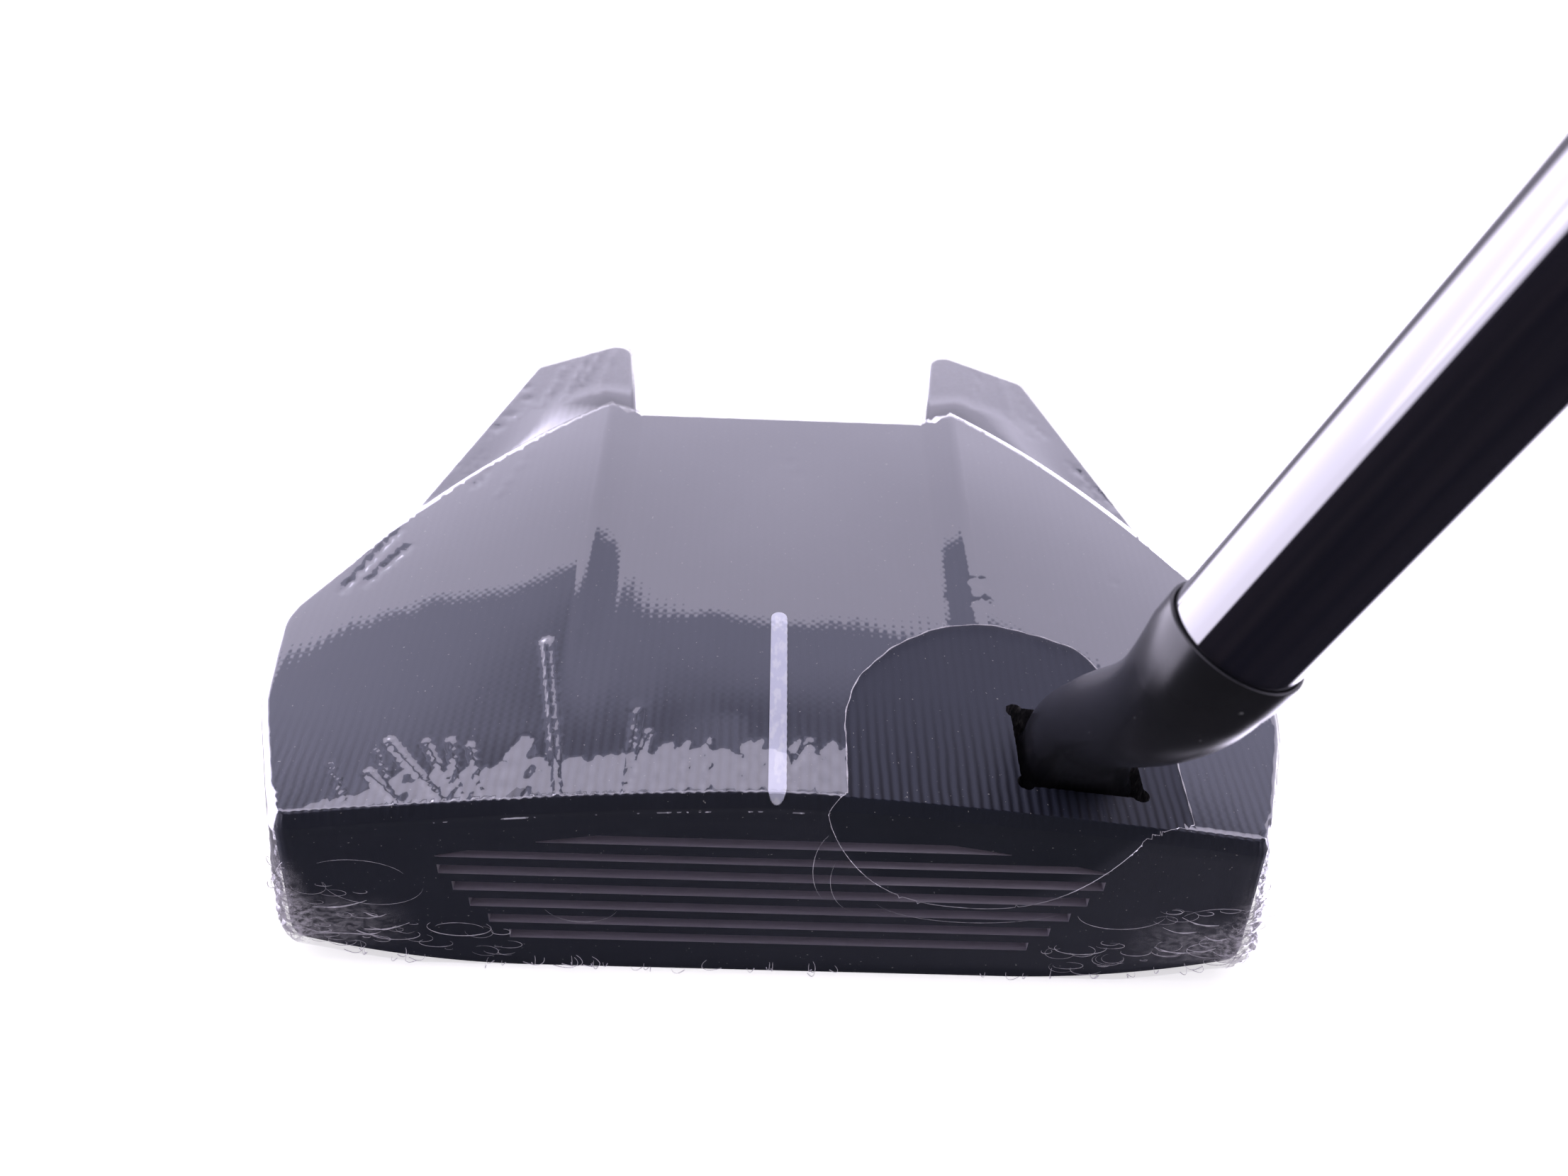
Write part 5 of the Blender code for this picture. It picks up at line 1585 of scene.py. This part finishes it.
def shaft_radius(along):
    radius = TIP_RADIUS
    for step in range(STEP_COUNT):
        share = float(ease(along, STEP_START + STEP_PITCH * step, STEP_START + STEP_PITCH * step + STEP_RAMP))
        radius += (BUTT_RADIUS - TIP_RADIUS) / STEP_COUNT * share
    return radius


def build_shaft(gloss):
    places = {SHAFT_START, SHAFT_START + 0.1, SHAFT_END}
    places |= set(np.arange(40.0, SHAFT_END - 5.0, 20.0))
    for step in range(STEP_COUNT):
        start = STEP_START + STEP_PITCH * step
        places |= set(np.linspace(start, start + STEP_RAMP, 7))
    places = sorted(places)
    outer = [(shaft_radius(along), along) for along in places]
    inner = [(shaft_radius(along) - SHAFT_WALL, along) for along in reversed(places)]
    shaft = lathe("stepped_shaft", outer + inner, shaft_matrix(), closed=True)
    shade(shaft, 40.0)
    finish_piece(shaft, "shaft", "gloss_black", gloss)


def grip_ring(along, half_width, half_depth, dimple=0.0, sides=120):
    """A section of the grip, round behind and flat in front, with its corners eased."""
    axis = shaft_matrix()
    flat = GRIP_FLAT * half_depth
    angle = np.arange(sides) * math.tau / sides
    x = half_depth * np.cos(angle)
    x = -flat + soft_floor(x + flat)
    y = half_width * np.sin(angle)
    cells = np.maximum(0.0, np.sin(along * math.tau / 5.2) * np.sin(angle * 20.0)) ** 2
    shrink = 1.0 - dimple * cells / half_width
    return [axis @ (Vector((float(a), float(b), along)) * MM) for a, b in zip(x * shrink, y * shrink)]


def soft_floor(value, blend=0.6):
    """value where it is positive, else 0, with a smooth change between."""
    return 0.5 * (value + np.sqrt(value**2 + blend**2))


def build_grip(rubber, cap_rubber):
    knots = [row[0] for row in GRIP_SECTIONS]
    rings = []
    steps = 240
    for step in range(steps + 1):
        t = step / steps
        half_width = float(np.interp(t, knots, [row[1] for row in GRIP_SECTIONS]))
        half_depth = float(np.interp(t, knots, [row[2] for row in GRIP_SECTIONS]))
        dimple = 0.35 * float(ease(t, 0.05, 0.07) * (1.0 - ease(t, 0.96, 0.98)))
        band = 0.25 * float(ease(t, 0.012, 0.02) * (1.0 - ease(t, 0.02, 0.03)))
        along = GRIP_START + (GRIP_END - GRIP_START) * t
        rings.append(grip_ring(along, half_width - band, half_depth - band, dimple))
    axis = shaft_matrix()
    sides = len(rings[0])
    bore = [section_ring(axis, GRIP_BORE, GRIP_BORE, along, sides=sides) for along in (GRIP_END, GRIP_START)]
    grip = loft("putter_grip", rings + bore + [rings[0]], caps=False)
    weld(grip)
    shade(grip, 50.0)
    finish_piece(grip, "grip", "grip_rubber", rubber)
    half_width, half_depth = GRIP_SECTIONS[-1][1:]
    levels = ((0.0, 0.0), (2.1, 0.0), (2.5, -0.15), (2.8, -0.55), (2.95, -1.1), (3.0, -1.8), (2.9, -3.5), (2.7, -7.0))
    rings = [grip_ring(CAP_LOW + z, half_width + d, half_depth + d) for z, d in levels]
    vent = [section_ring(axis, 1.2, 1.2, CAP_LOW + z, sides=sides) for z in (CAP_THICKNESS - 0.35, 0.0)]
    cap = loft("grip_end_cap", rings + vent + [rings[0]], caps=False)
    weld(cap)
    shade(cap, 40.0)
    finish_piece(cap, "grip_cap", "black_rubber", cap_rubber)


def weld(item):
    bm = bmesh.new()
    bm.from_mesh(item.data)
    bmesh.ops.remove_doubles(bm, verts=bm.verts, dist=0.001 * MM)
    bmesh.ops.recalc_face_normals(bm, faces=bm.faces)
    bm.to_mesh(item.data)
    bm.free()


# ---------------------------------------------------------------- line, sole hardware


def build_line():
    line = line_slab("line_fill", 0.0, LINE_DEPTH - 0.05, 0.0)
    shade(line, 40.0)
    finish_piece(line, "alignment_line", "white_paint", line_paint())


def thread_dent(start, end, pitch, depth):
    """Radii of a V thread between two heights."""

    def dent(angles, heights, radii):
        phase = (heights / pitch - angles / math.tau) % 1.0
        cut = np.abs(phase * 2.0 - 1.0) ** 0.9 * depth
        fade = ease(heights, start, start + 0.5) * (1.0 - ease(heights, end - 0.7, end))
        return radii - cut * fade

    return dent


def hex_cutter(across, low, high, matrix, material):
    outline = [(across / math.sqrt(3.0) * math.cos(a), across / math.sqrt(3.0) * math.sin(a))
               for a in np.arange(6) * math.tau / 6.0]
    cutter = prism("cut_hex", outline, low, high, matrix)
    cutter.data.materials.append(material)
    return cutter


def screw_body(name, profile, place, socket, material, dent=None, sides=72):
    """A turned screw with a hexagon socket: socket is its width, lowest and highest point."""
    item = lathe(name, profile, place, sides=sides, dent=dent)
    item.data.materials.append(material)
    carve(item, [hex_cutter(*socket, place, material)])
    shade(item, 35.0)
    return item


def stem_rows(radius, low, high, step):
    return [(radius, float(z)) for z in np.arange(low, high, step)]


def build_weights(steel, seal_rubber):
    for name, side in (("heel_weight", 1.0), ("toe_weight", -1.0)):
        place = upright(side * WEIGHT_X, WEIGHT_Y)
        stem_low, stem_top = FLANGE_HIGH + 1.2, STEM_HIGH - 0.5
        face = ((0.0, FLANGE_LOW), (3.1, FLANGE_LOW), (3.3, FLANGE_LOW + 0.15), (4.3, FLANGE_LOW + 0.15),
                (4.5, FLANGE_LOW), (FLANGE_RADIUS - 0.4, FLANGE_LOW), (FLANGE_RADIUS, FLANGE_LOW + 0.4),
                (FLANGE_RADIUS, FLANGE_HIGH), (GROOVE_RADIUS, FLANGE_HIGH), (GROOVE_RADIUS, FLANGE_HIGH + 1.1))
        profile = softened(face, 0.12)
        profile += stem_rows(STEM_RADIUS, stem_low, stem_top, 0.09)
        profile += [(STEM_RADIUS - 0.5, STEM_HIGH), (0.0, STEM_HIGH)]
        dent = thread_dent(stem_low, stem_top, WEIGHT_PITCH, 0.55)
        socket = (4.0, -1.0, FLANGE_LOW + 3.0)
        item = screw_body(name + "_screw", profile, place, socket, steel, dent)
        finish_piece(item, name, "stainless_steel")
        seal = frame["nodes"][name + "_seal"]
        repaint(seal, seal_rubber)
        weld_and_round(seal)


def weld_and_round(item):
    """Smooths a CAD ring with modifiers, leaving its mesh alone."""
    joined = item.modifiers.new("joined", "WELD")
    joined.merge_threshold = 0.01 * MM
    finer = item.modifiers.new("finer", "SUBSURF")
    finer.levels = 2
    finer.render_levels = 2


def repaint(item, material):
    item.data.materials.clear()
    item.data.materials.append(material)
    for polygon in item.data.polygons:
        polygon.use_smooth = True


def build_neck_screw(oxide):
    place = upright(NECK_X, NECK_Y)
    profile = softened(((0.0, 1.7), (3.9, 1.7), (4.2, 2.0), (4.2, 5.5), (2.4, 5.5), (2.4, 6.5)), 0.15)
    profile += stem_rows(2.4, 6.6, 24.0, 0.12) + [(2.4, 24.1), (2.0, 24.5), (0.0, 24.5)]
    knurl_start, knurl_end = 2.1, 5.4

    def dent(angles, heights, radii):
        threaded = thread_dent(7.0, 24.1, 0.8, 0.3)(angles, heights, radii)
        knurl = 0.08 * (0.5 + 0.5 * np.cos(angles * 36.0)) * (radii > 4.15)
        rows = (heights > knurl_start) & (heights < knurl_end)
        return threaded - knurl * rows

    item = screw_body("neck_bolt", profile, place, (4.0, 0.0, 4.2), oxide, dent)
    finish_piece(item, "neck_screw", "black_oxide_steel")
    ring = softened(((2.55, 5.6), (4.3, 5.6), (4.3, 6.6), (2.55, 6.6), (2.55, 5.6)), 0.15)[:-1]
    washer = lathe("neck_bolt_washer", ring, place, closed=True)
    weld(washer)
    shade(washer, 40.0)
    finish_piece(washer, "neck_screw_washer", "black_oxide_steel", oxide)


def build_sole_plate(steel, rubber, oxide):
    half = (PLATE_TOP - PLATE_LOW) / 2.0 / MM
    thickness = half.z * 2.0
    rings = []
    for z, inset in ((0.0, 0.35), (0.1, 0.12), (0.35, 0.0), (thickness - 0.2, 0.0), (thickness, 0.2)):
        outline = rectangle(half.x - inset, half.y - inset, 4.0 - inset, (0.0, FACE_TO_ORIGIN))
        rings.append([at(x, y, z) for x, y in outline])
    plate = loft("sole_cover", rings)
    plate.data.materials.append(steel)
    cutters = []
    for number, (x, y) in enumerate(PLATE_SCREWS, start=1):
        place = upright(x, y)
        sink = lathe("cut_sink", ((0.0, -1.0), (3.5, -1.0), (3.5, 0.05), (1.8, 1.75), (1.8, 4.0), (0.0, 4.0)), place, sides=64)
        sink.data.materials.append(steel)
        cutters.append(sink)
        profile = softened(((0.0, 0.1), (3.0, 0.1), (3.0, 0.3), (1.5, 1.7), (1.5, 1.9)), 0.08)
        profile += stem_rows(1.5, 2.0, 7.6, 0.1) + [(1.1, 8.0), (0.0, 8.0)]
        screw = screw_body(f"cover_screw_{number}", profile, place, (2.0, -1.0, 1.3), oxide, thread_dent(2.1, 7.7, 0.5, 0.2), 48)
        finish_piece(screw, f"plate_screw_{number}", "black_oxide_steel")
    carve(plate, cutters)
    shade(plate, 30.0)
    finish_piece(plate, "sole_plate", "stainless_steel")
    repaint(frame["nodes"]["plate_gasket"], rubber)


# ---------------------------------------------------------------- stage, light and camera

DEGREE = 1.0 / 360.0
# Brightness round the YZ plane: 0 is the horizon behind the object, 90 overhead, 180 before it
SKY = (
    (-180.0, 0.03), (-90.0, 0.02), (-75.0, 0.05), (-40.0, 0.4), (-12.0, 0.45), (-4.0, 0.5), (4.0, 0.7),
    (14.0, 1.3), (22.0, 2.8), (29.0, 3.0), (35.0, 2.8), (40.0, 2.5), (50.0, 2.5), (53.0, 2.9), (74.0, 4.0),
    (112.0, 3.6), (118.0, 0.2), (135.0, 0.06), (180.0, 0.03),
)
SKY_PEAK = 4.0
# The ceiling band behind the lamp panels: its lower edge in degrees against x / y of the direction
CEILING_EDGE = (
    (-0.98, 39.6), (-0.87, 40.0), (-0.76, 40.1), (-0.65, 41.2), (-0.48, 44.0), (-0.26, 43.5), (-0.14, 42.3),
    (0.055, 41.9), (0.146, 42.1), (0.36, 44.3), (0.545, 45.6), (0.6, 44.4), (0.69, 43.2), (0.82, 43.6),
    (0.9, 42.6), (0.975, 40.2),
)
CEILING_LOW, CEILING_SPAN = 38.0, 10.0
CEILING_TOP = 52.0
CEILING_GLOW = 0.95
SIDE_PANEL_GLOW = 7.0
LAVENDER = (0.97, 0.91, 1.14)
SLATE = (0.88, 0.86, 1.2)


def risen(tree, value, start, width):
    """0 below start, then 1 after a ramp of the width; a negative width falls instead."""
    return maths(tree, "DIVIDE", maths(tree, "SUBTRACT", value, start), width, clamp=True)


def product(tree, *values):
    result = values[0]
    for value in values[1:]:
        result = maths(tree, "MULTIPLY", result, value)
    return result


def ceiling_band(tree, angle, ratio):
    """1 inside the dim ceiling, 0 outside it, with crisp edges."""
    place = maths(tree, "MULTIPLY_ADD", ratio, 0.5, 0.5)
    stops = [(0.5 + ratio_stop / 2.0, (edge - CEILING_LOW) / CEILING_SPAN) for ratio_stop, edge in CEILING_EDGE]
    edge = maths(tree, "MULTIPLY_ADD", ramp(tree, place, stops), CEILING_SPAN, CEILING_LOW)
    return product(tree, risen(tree, angle, edge, 0.2), risen(tree, angle, CEILING_TOP, -0.3))


def dim_patches(tree, place, angle):
    """Dim greenish patches of the ceiling, as a share to take off it."""
    cloud = noise(tree, stretched(tree, place, (5.0, 7.0, 9.0)), 1.0, 2.0)
    offset = maths(tree, "DIVIDE", maths(tree, "SUBTRACT", angle, 48.2), 2.2)
    window = maths(tree, "POWER", 2.718, product(tree, offset, offset, -1.0))
    return product(tree, window, risen(tree, cloud, 0.36, 0.16), 0.62)


def side_panel(tree, x, y, z):
    """A tall panel on the toe side, low enough to miss the crown."""
    azimuth = maths(tree, "DEGREES", maths(tree, "ARCTAN2", y, maths(tree, "MULTIPLY", x, -1.0)))
    across = product(tree, risen(tree, azimuth, -13.0, 1.2), risen(tree, azimuth, 74.0, -14.0))
    return product(tree, across, risen(tree, z, 0.4, -0.1), risen(tree, z, -0.55, 0.2), SIDE_PANEL_GLOW)


def floor_gleam(tree, x, y, z):
    """Pale floor beyond the heel, as the underside of the neck shows it."""
    beyond = product(tree, risen(tree, x, 0.05, 0.25), risen(tree, y, 0.1, 0.2))
    return product(tree, beyond, risen(tree, z, -0.2, -0.15), 4.0)


def studio_seen(tree, direction):
    """Tint and strength of a bright rear wall, lamp panels round a dim ceiling, and a dark front."""
    x, y, z = separated(tree, direction)
    angle = maths(tree, "DEGREES", maths(tree, "ARCTAN2", z, y))
    ratio = maths(tree, "DIVIDE", x, maths(tree, "MAXIMUM", y, 0.05))
    stops = [(0.5 + degrees * DEGREE, value / SKY_PEAK) for degrees, value in SKY]
    glow = product(tree, ramp(tree, maths(tree, "MULTIPLY_ADD", angle, DEGREE, 0.5), stops), SKY_PEAK)
    band = ceiling_band(tree, angle, ratio)
    dim = product(tree, maths(tree, "SUBTRACT", 1.0, dim_patches(tree, direction, angle)), CEILING_GLOW)
    strength = maths(tree, "MULTIPLY_ADD", maths(tree, "SUBTRACT", dim, glow), band, glow)
    strength = maths(tree, "ADD", strength, side_panel(tree, x, y, z))
    strength = maths(tree, "ADD", strength, floor_gleam(tree, x, y, z))
    return blend_colour(tree, band, LAVENDER, SLATE), strength


def build_world():
    """The studio as reflections see it; an even fill for matt surfaces; a pale backdrop for the camera."""
    world = bpy.data.worlds.new("studio")
    bpy.context.scene.world = world
    world.use_nodes = True
    world.cycles.sampling_method = "NONE"
    tree = world.node_tree
    tree.nodes.clear()
    direction = add(tree, "TexCoord").outputs["Generated"]
    tint, strength = studio_seen(tree, direction)
    y = separated(tree, direction)[1]
    seen = add(tree, "Background", {"Color": tint, "Strength": strength})
    fill = maths(tree, "MULTIPLY_ADD", risen(tree, y, -0.6, 1.2), 0.7, 0.12)
    soft = add(tree, "Background", {"Color": (1.0, 0.97, 1.04, 1.0), "Strength": fill})
    pale = add(tree, "Background", {"Color": (1.0, 0.985, 1.0, 1.0), "Strength": 1.0})
    path = add(tree, "LightPath")
    mixed = add(tree, "MixShader", {0: path.outputs["Is Diffuse Ray"], 1: seen.outputs[0], 2: soft.outputs[0]})
    mixed = add(tree, "MixShader", {0: path.outputs["Is Camera Ray"], 1: mixed.outputs[0], 2: pale.outputs[0]})
    output = add(tree, "OutputWorld")
    tree.links.new(mixed.outputs[0], output.inputs["Surface"])


def build_floor():
    floor = mesh_object("floor", [(-4.0, -4.0, 0.0), (4.0, -4.0, 0.0), (4.0, 4.0, 0.0), (-4.0, 4.0, 0.0)], [(0, 1, 2, 3)])
    floor.location.z = HEAD_LOW.z - 0.05 * MM
    floor.data.materials.append(floor_material())
    floor.visible_glossy = False


def build_lamps():
    """Two large soft panels, one overhead and one at the back, which reflections don't show."""
    for name, place, size, power in (
        ("top_panel", (0.1, 0.2, 1.3), 1.4, 9.0),
        ("rear_panel", (-0.7, 1.0, 0.8), 0.9, 5.0),
    ):
        light = bpy.data.lights.new(name, "AREA")
        light.size = size
        light.energy = power
        light.color = (1.0, 0.97, 1.0)
        lamp = bpy.data.objects.new(name, light)
        bpy.context.scene.collection.objects.link(lamp)
        lamp.location = place
        aim = Vector((0.0, 0.0, 0.02)) - Vector(place)
        lamp.rotation_euler = aim.to_track_quat("-Z", "Y").to_euler()
        lamp.visible_glossy = False


def build_camera():
    """Close above the face, looking down on the crown, with a shallow phone-like focus."""
    data = bpy.data.cameras.new("camera")
    data.sensor_width = 36.0
    data.lens = 29.3
    data.clip_start = 0.004
    camera = bpy.data.objects.new("camera", data)
    bpy.context.scene.collection.objects.link(camera)
    camera.location = at(-2.32, -65.56, 108.12)
    camera.rotation_euler = [math.radians(angle) for angle in (47.396, -2.217, 0.311)]
    focus = bpy.data.objects.new("focus", None)
    bpy.context.scene.collection.objects.link(focus)
    focus.location = at(-2.0, 8.0, 22.0)
    data.dof.use_dof = True
    data.dof.focus_object = focus
    data.dof.aperture_fstop = 42.0
    bpy.context.scene.camera = camera


def build_all():
    steel = coated_metal("stainless_steel", (0.5, 0.49, 0.5), (0.62, 0.61, 0.62), 0.3, 1.0, 7.0, 0.004, (0.2, 3.0, 1.0))
    oxide = coated_metal("black_oxide_steel", (0.03, 0.03, 0.032), (0.06, 0.058, 0.06), 0.38, 0.9, 8.0, 0.006)
    rubber = plain_rubber()
    build_head()
    build_film()
    build_line()
    build_neck()
    build_neck_screw(oxide)
    build_sole_plate(steel, rubber, oxide)
    build_weights(steel, rubber)
    build_shaft(gloss_black())
    build_grip(grip_rubber(), rubber)
    repaint(frame["nodes"]["shaft_plug"], rubber)
    repaint(frame["nodes"]["grip_tape"], grip_tape())


build_all()
build_world()
build_floor()
build_lamps()
build_camera()
bpy.context.scene.view_settings.view_transform = "Standard"
